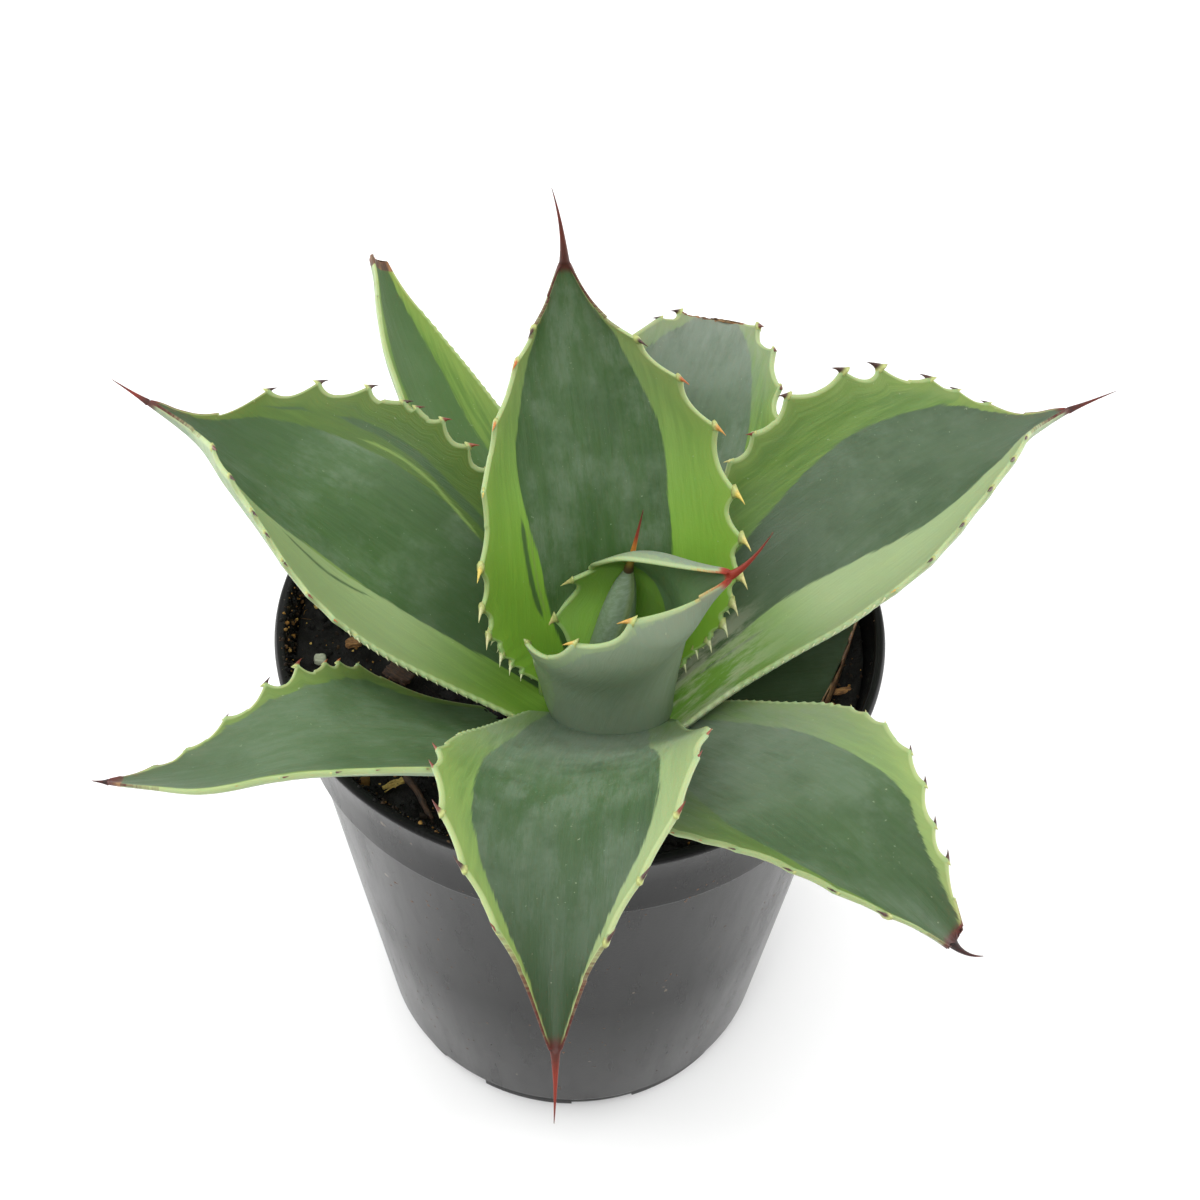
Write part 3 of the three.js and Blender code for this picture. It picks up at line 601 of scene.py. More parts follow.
def leaf_material():
    """Waxy leaf skin: a dark middle, lime margins, streaks, a pale rim that is partly painted highlight,
    brown borders and spine, with painted light and shade where the leaf faces towards or away from the
    light.
    """
    skin = Skin("leaf_skin", Subsurface_Weight=0.15, Subsurface_Scale=0.006, Specular_IOR_Level=0.28)
    named, ramp, times, plus, layers = skin.named, skin.ramp, skin.times, skin.plus, skin.layers
    across, along, own = named("across_mm"), named("along_mm"), named("leaf_seed")
    flow = skin.vector(across, times(along, 0.07), own)
    blot = skin.vector(across, times(along, 0.28), own)
    place = skin.place()
    fibre, hair = skin.grain(flow, 0.75, 4.0, 0.6), skin.grain(flow, 3.2)
    cloud, fleck = skin.grain(place, 40, 5.0, 0.66), skin.grain(place, 900, 2.0, 0.6)
    patch = skin.grain(blot, 0.16, 6.0, 0.72)
    under, green, rim = named("under"), named("painted_translucence"), named("rim_mm")

    dark = layers(
        (58, 84, 50), (ramp(cloud, 0.38, 0.62), (106, 125, 101)),
        (ramp(patch, 0.42, 0.62, 0, 0.75), (58, 90, 42)), (ramp(fibre, 0.38, 0.68, 0, 0.45), (86, 110, 76)),
        # Its own fresh green, then painted shade that darkens the middle.
        (times(named("fresh"), 0.8), (76, 112, 46)), (named("painted_shade"), (48, 68, 42)),
        # Painted light: green shining through near the foot, and a lift on inner faces in shade.
        (times(green, 0.75), (62, 96, 34)), (named("lift"), (116, 154, 100)),
    )
    lime = layers(
        (86, 119, 42), (ramp(fibre, 0.36, 0.7), (106, 137, 56)),
        (ramp(hair, 0.5, 0.75, 0, 0.2), (74, 108, 38)), (ramp(patch, 0.55, 0.8, 0, 0.4), (126, 154, 82)),
        # Lighter towards the margin; pale is partly the lime's own tone and partly painted light on bands
        # that face the light.
        (ramp(rim, 6, 1, 0, 0.4), (134, 160, 74)), (times(named("pale"), 0.8), (172, 190, 142)),
        # Painted light: green shining through near the foot and a glow on inner leaves in shade; then
        # painted shade on lime bands that face away from the light.
        (green, (104, 152, 40)), (named("painted_glow"), (144, 194, 66)), (named("painted_lime_shade"), (62, 86, 34)),
    )
    fray = skin.about(hair, 1.0)
    inside = plus(named("lime_mm"), plus(skin.about(fibre, 2.2), fray))
    colour = layers(dark, (ramp(inside, -0.35, 0.45), lime))
    for kind, tone in (("dark", (62, 88, 54)), ("light", (126, 152, 76))):
        offsets, halves = (skin.split(named(kind + part, "Vector")) for part in ("_offset", "_half"))
        for offset, half in zip(offsets, halves):
            off = skin.math("ABSOLUTE", plus(offset, times(fray, 0.9)))
            colour = layers(colour, (ramp(skin.math("SUBTRACT", half, off), -0.35, 0.5, 0, 0.85), tone))

    bloom = times(named("bloom"), ramp(patch, 0.3, 0.7, 0.45, 1.0))
    pale = layers((150, 166, 140), (ramp(patch, 0.4, 0.66), (128, 148, 118)))
    horn = skin.tones(
        named("horn_tone"), (0.0, (196, 176, 58)), (0.3, (196, 122, 40)), (0.55, (150, 48, 28)),
        (0.8, (82, 42, 34)), (1.0, (48, 34, 32)),
    )
    line = skin.math("SUBTRACT", named("horn_mm"), plus(rim, times(fray, 0.2)))
    dry = layers(
        (70, 52, 40), (ramp(patch, 0.38, 0.62), (152, 118, 78)),
        (ramp(hair, 0.4, 0.66, 0, 0.6), (98, 70, 50)),
    )
    dried = ramp(plus(named("dry"), skin.about(patch, 0.7)), 0.42, 0.58)
    colour = layers(
        colour, (bloom, (142, 152, 140)), (times(under, 0.75), pale),
        # A pale line along the margin: partly its own cream edge and partly painted highlight.
        (ramp(rim, 0.7, 0.1, 0, 0.45), (180, 198, 142)), (ramp(fleck, 0.7, 0.78, 0, 0.3), (176, 192, 156)),
        # Painted shadow over a leaf that lies in the shade of the others.
        (named("painted_shadow"), (22, 34, 14)), (times(named("scurf"), ramp(patch, 0.42, 0.6)), (196, 198, 172)),
        (ramp(line, -0.08, 0.14), horn), (dried, dry), (ramp(named("spine"), 0.02, 0.1), horn),
    )
    rough = plus(plus(ramp(fibre, 0.3, 0.7, 0.4, 0.54), times(under, 0.1)), times(bloom, 0.15))
    relief = plus(plus(times(fibre, 0.6), times(hair, 0.25)), times(fleck, 0.2))
    return skin.finish(colour, rough, relief, 0.00035, 0.7)


def tooth_material():
    """Horny teeth: tone 0 is cream, 0.5 orange, 1 dark; each is paler at its foot."""
    skin = Skin("leaf_teeth", 0.38)
    horn = skin.tones(
        skin.named("tone"), (0.0, (206, 212, 164)), (0.2, (218, 194, 92)), (0.5, (190, 104, 40)),
        (0.75, (128, 54, 38)), (1.0, (60, 34, 30)),
    )
    spots = skin.ramp(skin.grain(skin.place(), 1400), 0.4, 0.7, 0, 0.3)
    grown_out = skin.ramp(skin.named("rise"), 0.12, 0.42)
    return skin.finish(skin.layers((176, 186, 112), (grown_out, horn), (spots, (120, 84, 60))))


def bud_material():
    """The rolled leaf: grey-green with long streaks, and the seam where it wraps over itself."""
    skin = Skin("bud_skin", 0.48, Subsurface_Weight=0.05, Subsurface_Scale=0.003)
    ramp, seam, spine = skin.ramp, skin.named("seam_mm"), skin.named("spine_share")
    flow = skin.vector(skin.named("turn_mm"), skin.times(skin.named("rise_share"), 28.8))
    streak = skin.grain(flow, 0.9, 3.0, 0.6)
    cloud = skin.grain(skin.place(), 160, 3.0, 0.6)
    horn = skin.tones(
        spine, (0.0, (66, 50, 34)), (0.08, (84, 62, 36)), (0.2, (172, 140, 56)), (0.42, (184, 112, 42)),
        (0.58, (140, 50, 34)), (1.0, (70, 34, 32)),
    )
    colour = skin.layers(
        (124, 144, 116), (ramp(streak, 0.35, 0.68), (142, 160, 138)),
        (ramp(cloud, 0.5, 0.75, 0, 0.3), (156, 172, 152)), (ramp(seam, 0.55, 0.1, 0, 0.7), (64, 86, 48)),
        (ramp(seam, 1.6, 0.5, 0, 0.35), (150, 166, 100)), (ramp(spine, 0.0, 0.02), horn),
    )
    return skin.finish(colour, None, streak, 0.0001, 0.4)


def pot_material():
    """Dark moulded plastic with a satin surface, faint scuffs and specks of dried soil."""
    skin = Skin("pot_plastic", Specular_IOR_Level=0.1, Sheen_Weight=0.015, Sheen_Roughness=0.2)
    place, ramp, grain = skin.place(), skin.ramp, skin.grain
    cloud, where, spot = grain(place, 22, 3.0, 0.55), grain(place, 30), grain(place, 210)
    scuff = grain(skin.stretched(place, 1, 1, 0.18), 130, 4.0, 0.65)
    swirl = grain(skin.stretched(place, 0.2, 0.2, 3), 60, 3.0, 0.6)
    crumbs = skin.times(ramp(grain(place, 620, 1.0, 0.4), 0.73, 0.76), ramp(where, 0.42, 0.62))
    colour = skin.layers(
        (22, 22, 22), (ramp(cloud, 0.35, 0.65), (28, 28, 27)),
        (ramp(scuff, 0.55, 0.8, 0, 0.2), (46, 45, 44)), (ramp(swirl, 0.55, 0.75, 0, 0.12), (44, 43, 42)),
        (crumbs, (104, 78, 58)), (ramp(spot, 0.74, 0.78, 0, 0.6), (120, 108, 92)),
    )
    rough = skin.plus(ramp(scuff, 0.4, 0.75, 0.23, 0.3), skin.times(crumbs, 0.3))
    relief = skin.plus(skin.times(scuff, 0.6), skin.times(crumbs, 0.8))
    return skin.finish(colour, rough, skin.plus(relief, skin.times(grain(place, 1500), 0.2)), 0.0002, 0.5)


def soil_material():
    """Damp peat and bark crumbs; tint, 0 to 1, runs from black over brown to tan."""
    skin = Skin("potting_mix", Specular_IOR_Level=0.25)
    place, ramp = skin.place(), skin.ramp
    fine, broad = skin.grain(place, 1300, 3.0, 0.65), skin.grain(place, 160, 3.0, 0.6)
    crumb = skin.tones(
        skin.named("tint"), (0.0, (6, 6, 5)), (0.5, (14, 12, 9)), (0.72, (44, 31, 18)),
        (0.86, (138, 98, 46)), (1.0, (210, 178, 100)),
    )
    crumb = skin.layers(
        crumb, (ramp(fine, 0.56, 0.78, 0, 0.4), (58, 44, 30)), (ramp(broad, 0.45, 0.7, 0, 0.4), (10, 9, 8)),
    )
    return skin.finish(crumb, ramp(broad, 0.35, 0.65, 0.95, 0.6), fine, 0.0005, 0.8)


def litter_material(name, low, high, spots, scale):
    """Dry plant matter with a grain along its own length."""
    skin = Skin(name, 0.75)
    flow = skin.vector(skin.times(skin.named("grain_along"), 0.18), skin.named("grain_across"))
    streak, fine = skin.grain(flow, scale, 4.0, 0.65), skin.grain(skin.place(), 1600, 3.0, 0.6)
    ramp = skin.ramp
    colour = skin.layers(low, (ramp(streak, 0.34, 0.66), high), (ramp(fine, 0.52, 0.74, 0, 0.7), spots))
    return skin.finish(colour, None, skin.plus(streak, skin.times(fine, 0.4)), 0.0004, 0.8)


def stem_material():
    """Pale stem tissue and roots, browner where they are thin and corky."""
    skin = Skin("stem_tissue", 0.6)
    place, ramp = skin.place(), skin.ramp
    cloud, fine = skin.grain(place, 90, 4.0, 0.6), skin.grain(place, 700, 3.0, 0.6)
    scar = skin.grain(skin.stretched(place, 0.3, 0.3, 2.5), 160)
    colour = skin.layers(
        (186, 178, 128), (ramp(cloud, 0.35, 0.65), (150, 130, 84)),
        (ramp(scar, 0.5, 0.7, 0, 0.6), (112, 88, 56)), (ramp(fine, 0.55, 0.75, 0, 0.5), (92, 70, 46)),
    )
    return skin.finish(colour, None, skin.plus(scar, fine), 0.0006, 0.7)


# ---- what repeats


def loose_object(name, points, faces, values=None):
    """A small shape of unit size for a Geometry Nodes tree to repeat."""
    return bpy.data.objects.new(name, make_mesh(name, np.array(points) / MM, faces, values, closed=True))


def tooth_shape():
    """One hooked tooth of unit length, broad at its foot, with a few dozen faces."""
    sides, rings = 8, 8
    points, rise = [], []
    for r in range(rings):
        share = r / (rings - 1)
        radius = 0.17 * (1 - share) ** 0.8 + 0.14 * (1 - share) ** 4 + 0.015
        for k in range(sides):
            angle = 2 * math.pi * (k + 0.5) / sides
            wide = radius * (1.5 - 0.5 * share)
            sway, height = 0.5 * share**1.7 - 0.05, 0.95 * share - 0.2
            points.append((sway + wide * math.cos(angle), 0.8 * radius * math.sin(angle), height))
            rise.append(share)
    return loose_object("tooth", points, skin_faces(rings, sides), {"rise": rise})


def ball(subdivisions, radius):
    """Points and faces of an even ball of triangles."""
    shell = bmesh.new()
    bmesh.ops.create_icosphere(shell, subdivisions=subdivisions, radius=radius)
    points = np.array([tuple(point.co) for point in shell.verts])
    faces = [tuple(point.index for point in face.verts) for face in shell.faces]
    shell.free()
    return points, faces


def crumb_shape(name, seed, flat):
    """One uneven crumb of unit length."""
    points, faces = ball(1, 0.5)
    shift = random.Random(seed)
    sizes = np.array([shift.uniform(0.72, 1.15) for _ in points])
    return loose_object(name, points * sizes[:, None] * (1, 1, flat), faces)


def strand_shape():
    """One bent fibre of unit length."""
    sides, rings = 4, 6
    points = []
    for r in range(rings):
        share = r / (rings - 1)
        radius = 0.035 * math.sin(math.pi * (0.12 + 0.76 * share))
        for k in range(sides):
            angle = 2 * math.pi * k / sides
            bend, lift = 0.16 * math.sin(3 * share), 0.12 * math.sin(math.pi * share)
            points.append((share - 0.5, bend + radius * math.cos(angle), lift + radius * math.sin(angle)))
    return loose_object("strand", points, skin_faces(rings, sides))


def new_group(name, *sockets):
    """A Geometry Nodes tree with geometry in and out and these named inputs."""
    group = bpy.data.node_groups.new(name, "GeometryNodeTree")
    face = group.interface
    face.new_socket("Geometry", in_out="INPUT", socket_type="NodeSocketGeometry")
    for title, kind in sockets:
        face.new_socket(title, in_out="INPUT", socket_type="NodeSocket" + kind)
    face.new_socket("Geometry", in_out="OUTPUT", socket_type="NodeSocketGeometry")
    tree = Tree(group)
    return group, tree, tree.add("NodeGroupInput").outputs


def repeat(tree, points, shape, turn, scale, material):
    """Ends a tree with the shape at every point, as real and painted geometry."""
    placed = tree.add("GeometryNodeInstanceOnPoints", {
        "Points": points, "Instance": shape.outputs["Geometry"], "Rotation": turn, "Scale": scale,
    })
    real = tree.add("GeometryNodeRealizeInstances", {"Geometry": placed.outputs["Instances"]})
    inputs = {"Geometry": real.outputs["Geometry"], "Material": material}
    painted = tree.add("GeometryNodeSetMaterial", inputs)
    tree.add("NodeGroupOutput", {"Geometry": painted.outputs["Geometry"]})


def teeth_tree():
    """A tooth at every point, turned outwards and hooked as its lean says."""
    group, tree, given = new_group(
        "teeth_on_margin", ("Tooth", "Object"), ("Length", "Float"), ("Material", "Material"))
    turn = tree.add(
        "FunctionNodeAxesToRotation",
        {0: tree.given("FLOAT_VECTOR", "outward"), 1: tree.given("FLOAT_VECTOR", "lean")},
        primary_axis="Z", secondary_axis="X",
    )
    tooth = tree.add("GeometryNodeObjectInfo", {"Object": given["Tooth"]})
    scale = tree.times(tree.given("FLOAT", "size"), given["Length"])
    repeat(tree, given["Geometry"], tooth, turn.outputs[0], scale, given["Material"])
    return group


def scatter_tree():
    """Shapes strewn over a surface, each turned, sized and tinted by chance."""
    group, tree, given = new_group(
        "strewn_over_soil", ("Shape", "Object"), ("Per Square Metre", "Float"), ("Smallest", "Float"),
        ("Largest", "Float"), ("Tilt", "Float"), ("Darkest", "Float"), ("Lightest", "Float"),
        ("Seed", "Int"), ("Material", "Material"))
    spots = tree.add("GeometryNodeDistributePointsOnFaces", {
        "Mesh": given["Geometry"], "Density": given["Per Square Metre"], "Seed": given["Seed"],
    })

    def chance(kind, low, high, shift):
        node = tree.add("FunctionNodeRandomValue", data_type=kind)
        sockets = {"FLOAT": (2, 3, 1), "FLOAT_VECTOR": (0, 1, 0)}[kind]
        for at, value in ((sockets[0], low), (sockets[1], high), ("Seed", tree.plus(given["Seed"], shift))):
            tree.put(node.inputs[at], value)
        return node.outputs[sockets[2]]

    tinted = tree.add("GeometryNodeStoreNamedAttribute", {
        "Geometry": spots.outputs["Points"], "Name": "tint",
        "Value": chance("FLOAT", given["Darkest"], given["Lightest"], 1.0),
    }, data_type="FLOAT", domain="POINT")
    lean = tree.vector(given["Tilt"], given["Tilt"], math.pi)
    back = tree.add("ShaderNodeVectorMath", {0: lean, "Scale": -1.0}, operation="SCALE").outputs[0]
    turn = chance("FLOAT_VECTOR", back, lean, 2.0)
    share = tree.math("POWER", chance("FLOAT", 0.0, 1.0, 3.0), 2.0)
    size = tree.add("ShaderNodeMapRange", {
        "Value": share, "To Min": given["Smallest"], "To Max": given["Largest"],
    }).outputs["Result"]
    shape = tree.add("GeometryNodeObjectInfo", {"Object": given["Shape"]})
    repeat(tree, tinted.outputs["Geometry"], shape, turn, size, given["Material"])
    return group


def grown(name, mesh, group, **inputs):
    """The plain mesh that a Geometry Nodes tree makes from a mesh."""
    holder = link(name, mesh)
    modifier = holder.modifiers.new("grow", "NODES")
    modifier.node_group = group
    sockets = {item.name: item.identifier for item in group.interface.items_tree if item.in_out == "INPUT"}
    for key, value in inputs.items():
        modifier[sockets[key.replace("_", " ")]] = value
    bpy.context.view_layer.update()
    graph = bpy.context.evaluated_depsgraph_get()
    made = bpy.data.meshes.new_from_object(holder.evaluated_get(graph), depsgraph=graph)
    bpy.data.objects.remove(holder)
    made.name = name
    return made


# ---- teeth


def nearest_share(leaf, side, pixel):
    """Where along a margin, as a share of the leaf, a pixel of the photograph lies."""
    t = np.linspace(0.02, leaf.get("reach", 1) - 0.01, 500)
    margin = blade_point(leaf, t, np.full_like(t, side), np.zeros_like(t))
    gap = np.linalg.norm(to_picture(margin) - np.array(pixel), axis=1)
    return t[np.argmin(gap)]


def tooth_list(leaf):
    """(side, share, length, tone, large) of every tooth of a leaf."""
    found = []
    for way, side in enumerate((1.0, -1.0)):
        for x, y, length, tone in leaf.get("teeth", ([], []))[way]:
            size = length * (1 + TOOTH_GAIN * tone) * leaf.get("tooth_scale", 1)
            found.append((side, nearest_share(leaf, side, (x, y)), size, tone, True))
        if "regular" in leaf:
            start, end = leaf["regular"][way]
            steps = max(int((end - start) * leaf["length"] / REGULAR_STEP), 1)
            for share in np.linspace(start, end, steps + 1):
                found.append((side, share, REGULAR_LENGTH, 1.0, True))
        if "comb" in leaf:
            start, end = leaf["comb"][way]
            steps = int((end - start) * leaf["length"] / COMB_STEP)
            for share in np.linspace(start, end, steps):
                growth = leaf.get("comb_size", 1.0) * (0.6 + 0.7 * (share - start) / (end - start))
                found.append((side, share, COMB_LENGTH * growth, 0.0, False))
    return found


def margin_growth(leaf, teeth, t, side):
    """How far the margin stands out at t: a cusp under every large tooth and a hollow between
    neighbours, and a low bump under every fine one."""
    length = leaf["length"]
    grow, fine = np.zeros_like(t), np.zeros_like(t)
    large = sorted((share, size) for way, share, size, _, broad in teeth if way == side and broad)
    for i, (share, size) in enumerate(large):
        before = (share - large[i - 1][0]) * length / 2 if i else CUSP_ALONE
        after = (large[i + 1][0] - share) * length / 2 if i + 1 < len(large) else CUSP_ALONE
        away = (t - share) * length
        reach = np.where(away < 0, *np.clip((before, after), *CUSP_REACH))
        height = SCALLOP * leaf.get("scallop", 1) * min(size / 2.6, 1.3) * min(before / 5, after / 5, 1)
        fall = np.clip(1 - np.abs(away) / reach, 0, 1)
        grow = np.where(np.abs(away) < reach, height * (1.35 * fall**2.1 - 0.35), grow)
    for way, share, size, _, broad in teeth:
        if way == side and not broad:
            fall = np.clip(1 - np.abs(t - share) * length / 1.3, 0, 1)
            fine = np.maximum(fine, 0.3 * size * fall**1.6)
    return grow + fine


def teeth_points(leaf, teeth):
    points, values = [], {"outward": [], "lean": [], "size": [], "tone": []}
    for side, share, length, shade, broad in teeth:
        t, u = np.array([share, max(share - 0.012, 0.0)]), np.full(2, side)
        grow = np.full(2, margin_growth(leaf, teeth, t, side)[0])
        middle = np.full(2, leaf["edge"] * 0.45)
        tip = blade_point(leaf, t, u, middle, grow)
        out = blade_point(leaf, t, u, middle, grow, out=1.0)[0] - tip[0]
        back = tip[1] - tip[0]
        back /= np.linalg.norm(back)
        up = section_at(leaf, t[:1])[3][0]
        points.append(tip[0])
        row = (out + back * 0.3 + up * (0.25 if broad else -0.6), back, length, shade)
        for found, value in zip(values.values(), row):
            found.append(value)
    return make_mesh("tooth_points", points, [], values)


# ---- leaves

TOP = np.sin(np.linspace(math.pi / 2, -math.pi / 2, 72))
UNDER = np.sin(np.linspace(-math.pi / 2, math.pi / 2, 36))
CAP = np.array([0.25, 0.5, 0.75]) * math.pi
LENGTH_STEPS = 230
SPINE_STEPS = 30


def ring_template():
    """Across share and face of each point of a ring: 0 upper, 1 under, 2 and 3 the margins."""
    u = np.concatenate([TOP, -np.ones(3), UNDER, np.ones(3)])
    face = np.concatenate([np.zeros(len(TOP)), np.full(3, 2), np.ones(len(UNDER)), np.full(3, 3)])
    cap = np.concatenate([np.zeros(len(TOP)), CAP, np.zeros(len(UNDER)), CAP[::-1]])
    return u, face, cap


def lime_depth(leaf, t, u):
    """Distance in millimetres inside the pale margin; negative in the dark middle."""
    left, right = (smooth(LIME_STATIONS, side, t) for side in leaf["lime"])
    return (np.abs(u) - 1 + np.where(u > 0, left, right)) * half_width(leaf, t, u)


def streak_values(leaf, t, u, wanted):
    """Offset from the middle of each stripe, and its half-width, which is negative beyond it."""
    offset, half = np.full((len(t), 3), 9.0), np.full((len(t), 3), -1.0)
    stripes = [stripe for stripe in leaf.get("streaks", []) if stripe[0] == wanted]
    for way, (_, width, path) in enumerate(stripes):
        path = np.array(sorted(path))
        middle = np.interp(t, path[:, 0], path[:, 1])
        start, end = path[0, 0], path[-1, 0]
        taper = ease(start - 0.02, start + 0.05, t) * ease(end + 0.03, end - 0.04, t)
        offset[:, way] = (u - middle) * half_width(leaf, t, np.full_like(u, np.sign(middle[0])))
        half[:, way] = width / 2 * taper - 0.4 * (1 - taper)
    return offset, half


def tuned(leaf, key, t, u, usual=0.0):
    """A tone of one leaf: a number or one per lime station, for both sides or for each."""
    wanted = leaf.get(key, usual)
    pair = wanted if isinstance(wanted, tuple) else (wanted, wanted)
    left, right = (np.interp(t, LIME_STATIONS, np.broadcast_to(side, len(LIME_STATIONS))) for side in pair)
    return np.where(u > 0, left, right)


def leaf_values(name, leaf, t, u, under, rim, edge_share):
    """What the leaf's material reads at each point."""
    def own(key, usual=0.0):
        return leaf.get(key, usual)

    none, upper = np.zeros(len(t)), 1 - under
    start = own("border", 1.1)
    dry = ease(leaf["dry"] - 0.008, leaf["dry"] + 0.012, t) if "dry" in leaf else none
    if "ragged" in leaf:
        dry = np.maximum(dry, ease(0.988, 1.0, edge_share))
    values = {
        "across_mm": u * half_width(leaf, t, u),
        "along_mm": t * leaf["length"],
        "leaf_seed": none + 7.0 * list(LEAVES).index(name),
        "lime_mm": lime_depth(leaf, t, u),
        "rim_mm": rim,
        "under": under * own("under", 1.0),
        # Painted light shining through the leaf, near its foot and over the inner leaf's upper face.
        "painted_translucence": np.maximum(own("painted_foot_translucence", 0.85) * ease(0.4, 0.06, t), own("painted_inner_translucence") * upper),
        "fresh": none + own("fresh"),
        # pale is partly the lime's own tone and partly painted light; the next three are painted shade on a
        # lime band and painted light on faces in shade.
        "pale": tuned(leaf, "pale", t, u) * ease(0.1, 0.4, t),
        "painted_lime_shade": tuned(leaf, "painted_lime_shade", t, u),
        "painted_glow": own("painted_glow") * upper * ease(0.8, 0.3, t),
        "lift": own("lift") * upper * ease(0.95, 0.7, t),
        "bloom": own("bloom") * (ease(*leaf["bloom_from"], t) if "bloom_from" in leaf else 1)
        * (under + upper * own("inner_bloom", 1)),
        # Painted shadow over a whole leaf that lies in shade.
        "painted_shadow": tuned(leaf, "painted_shadow", t, u),
        # Painted shade on the dark middle, by default growing towards the tip.
        "painted_shade": tuned(leaf, "painted_shade", t, u, PAINTED_SHADE),
        "scurf": own("scurf") * ease(0.3, 0.12, t) * (u < 0),
        "horn_mm": own("border_mm", 0.12) * ease(start, start + 0.1, t) - 0.3 * (t < start),
        "horn_tone": np.interp(t, [start, 1.0], own("border_tone", [0.78, 0.84])) if start < 1 else none,
        "dry": dry,
        "spine": none + (0.1 * ease(0.965, 1.0, t) if "spine" in leaf else 0),
    }
    for kind in ("dark", "light"):
        values[kind + "_offset"], values[kind + "_half"] = streak_values(leaf, t, u, kind)
    return values


def spine_rings(leaf):
    """The hard spine beyond the blade: rings that narrow to a point along a bent line."""
    _, along, side, top = (part[0] for part in section_at(leaf, np.array([1.0])))
    centre = midrib_at(leaf, np.array([1.0]))[0] - top * 0.6 * leaf["spine_radius"]
    heading = math.radians(leaf["heading"] + leaf["bend"] + leaf["spine_turn"])
    rise = math.radians(leaf["spine_rise"])
    aim = np.array([math.cos(heading) * math.cos(rise), math.sin(heading) * math.cos(rise), math.sin(rise)])
    half, rest, close = math.pi, 0.08, 0.02 * np.arange(1, 4)
    angles = np.concatenate([
        np.linspace(0, half, len(TOP)), half + close,
        np.linspace(half + rest, 2 * half - rest, len(UNDER)), 2 * half - close[::-1],
    ])
    rings = []
    for i in range(1, SPINE_STEPS + 1):
        share = i / SPINE_STEPS
        turned = share ** leaf.get("spine_curl", 1.0)
        toward = along * (1 - turned) + aim * turned
        toward /= np.linalg.norm(toward)
        centre = centre + toward * leaf["spine"] / SPINE_STEPS
        radius = leaf["spine_radius"] * (0.5 * (1 - share) ** 0.9 + 0.5 * (1 - share) ** 3.5) + 0.07
        across = side - toward * (side @ toward)
        across /= np.linalg.norm(across)
        up = np.cross(toward, across)
        rings.append(centre + radius * (np.outer(np.cos(angles), across) + np.outer(np.sin(angles), up)))
    return np.array(rings).reshape(-1, 3)


def leaf_mesh(name, leaf, teeth):
    u_ring, face, cap = ring_template()
    count = len(u_ring)
    t, u = np.meshgrid(np.linspace(0, 1, LENGTH_STEPS + 1), u_ring, indexing="ij")
    edge_share = t.copy()
    reach = leaf.get("reach", 1) + leaf.get("reach_slope", 0) * u + leaf.get("reach_bulge", 0) * (1 - u**2)
    if "ragged" in leaf:
        depth, pace = leaf["ragged"]
        spots = [Vector((value * pace, leaf["heading"], 1)) for value in u_ring]
        tear = [noise.fractal(spot, 0.8, 2.2, 5) for spot in spots]
        reach = reach - depth * (0.5 + np.array(tear)) * ease(0.85, 1.0, t)
    t, u, edge_share = (t * reach).ravel(), u.ravel(), edge_share.ravel()
    face, cap = np.tile(face, LENGTH_STEPS + 1), np.tile(cap, LENGTH_STEPS + 1)
    grow = np.where(u > 0, margin_growth(leaf, teeth, t, 1.0), margin_growth(leaf, teeth, t, -1.0))
    thick = thickness_at(leaf, t, u)
    depth = np.where(face == 1, thick, np.where(face >= 2, thick / 2 * (1 - np.cos(cap)), 0))
    out = np.where(face >= 2, thick / 2 * np.sin(cap), 0)
    points = blade_point(leaf, t, u, depth, grow, out)
    under = np.where(face == 1, 1.0, np.where(face >= 2, (1 - np.cos(cap)) / 2, 0.0))
    rim = half_width(leaf, t, u) * (1 - np.abs(u))
    values = leaf_values(name, leaf, t, u, under, rim, edge_share)
    heel = points[:count] - direction_at(leaf, np.array([0.0])) * HEEL
    points = np.vstack([heel, points])
    values = {key: np.concatenate([v[:count], v]) for key, v in values.items()}
    rings = LENGTH_STEPS + 2
    if "spine" in leaf:
        more = spine_rings(leaf)
        points = np.vstack([points, more])
        share = np.repeat(np.arange(1, SPINE_STEPS + 1) / SPINE_STEPS, count)
        for key, v in values.items():
            values[key] = np.concatenate([v] + [v[-count:]] * SPINE_STEPS)
        values["spine"][-len(more):] = 0.1 + share
        tones = leaf.get("spine_tone", [1, 1, 1, 1])
        values["horn_tone"][-len(more):] = np.interp(share, np.linspace(0, 1, 4), tones)
        rings += SPINE_STEPS
    return make_mesh(name, points, skin_faces(rings, count), values, closed=True)


def make_leaf(name, leaf, skin, tooth, tooth_skin, group):
    teeth = tooth_list(leaf)
    piece = link(name + "_blade", leaf_mesh(name, leaf, teeth))
    piece.data.materials.append(skin)
    if teeth:
        points = teeth_points(leaf, teeth)
        made = grown(name + "_teeth", points, group, Tooth=tooth, Length=MM, Material=tooth_skin)
        piece = join([piece, link(name + "_teeth", made)])
    finish_piece(piece, "leaf_skin", name)


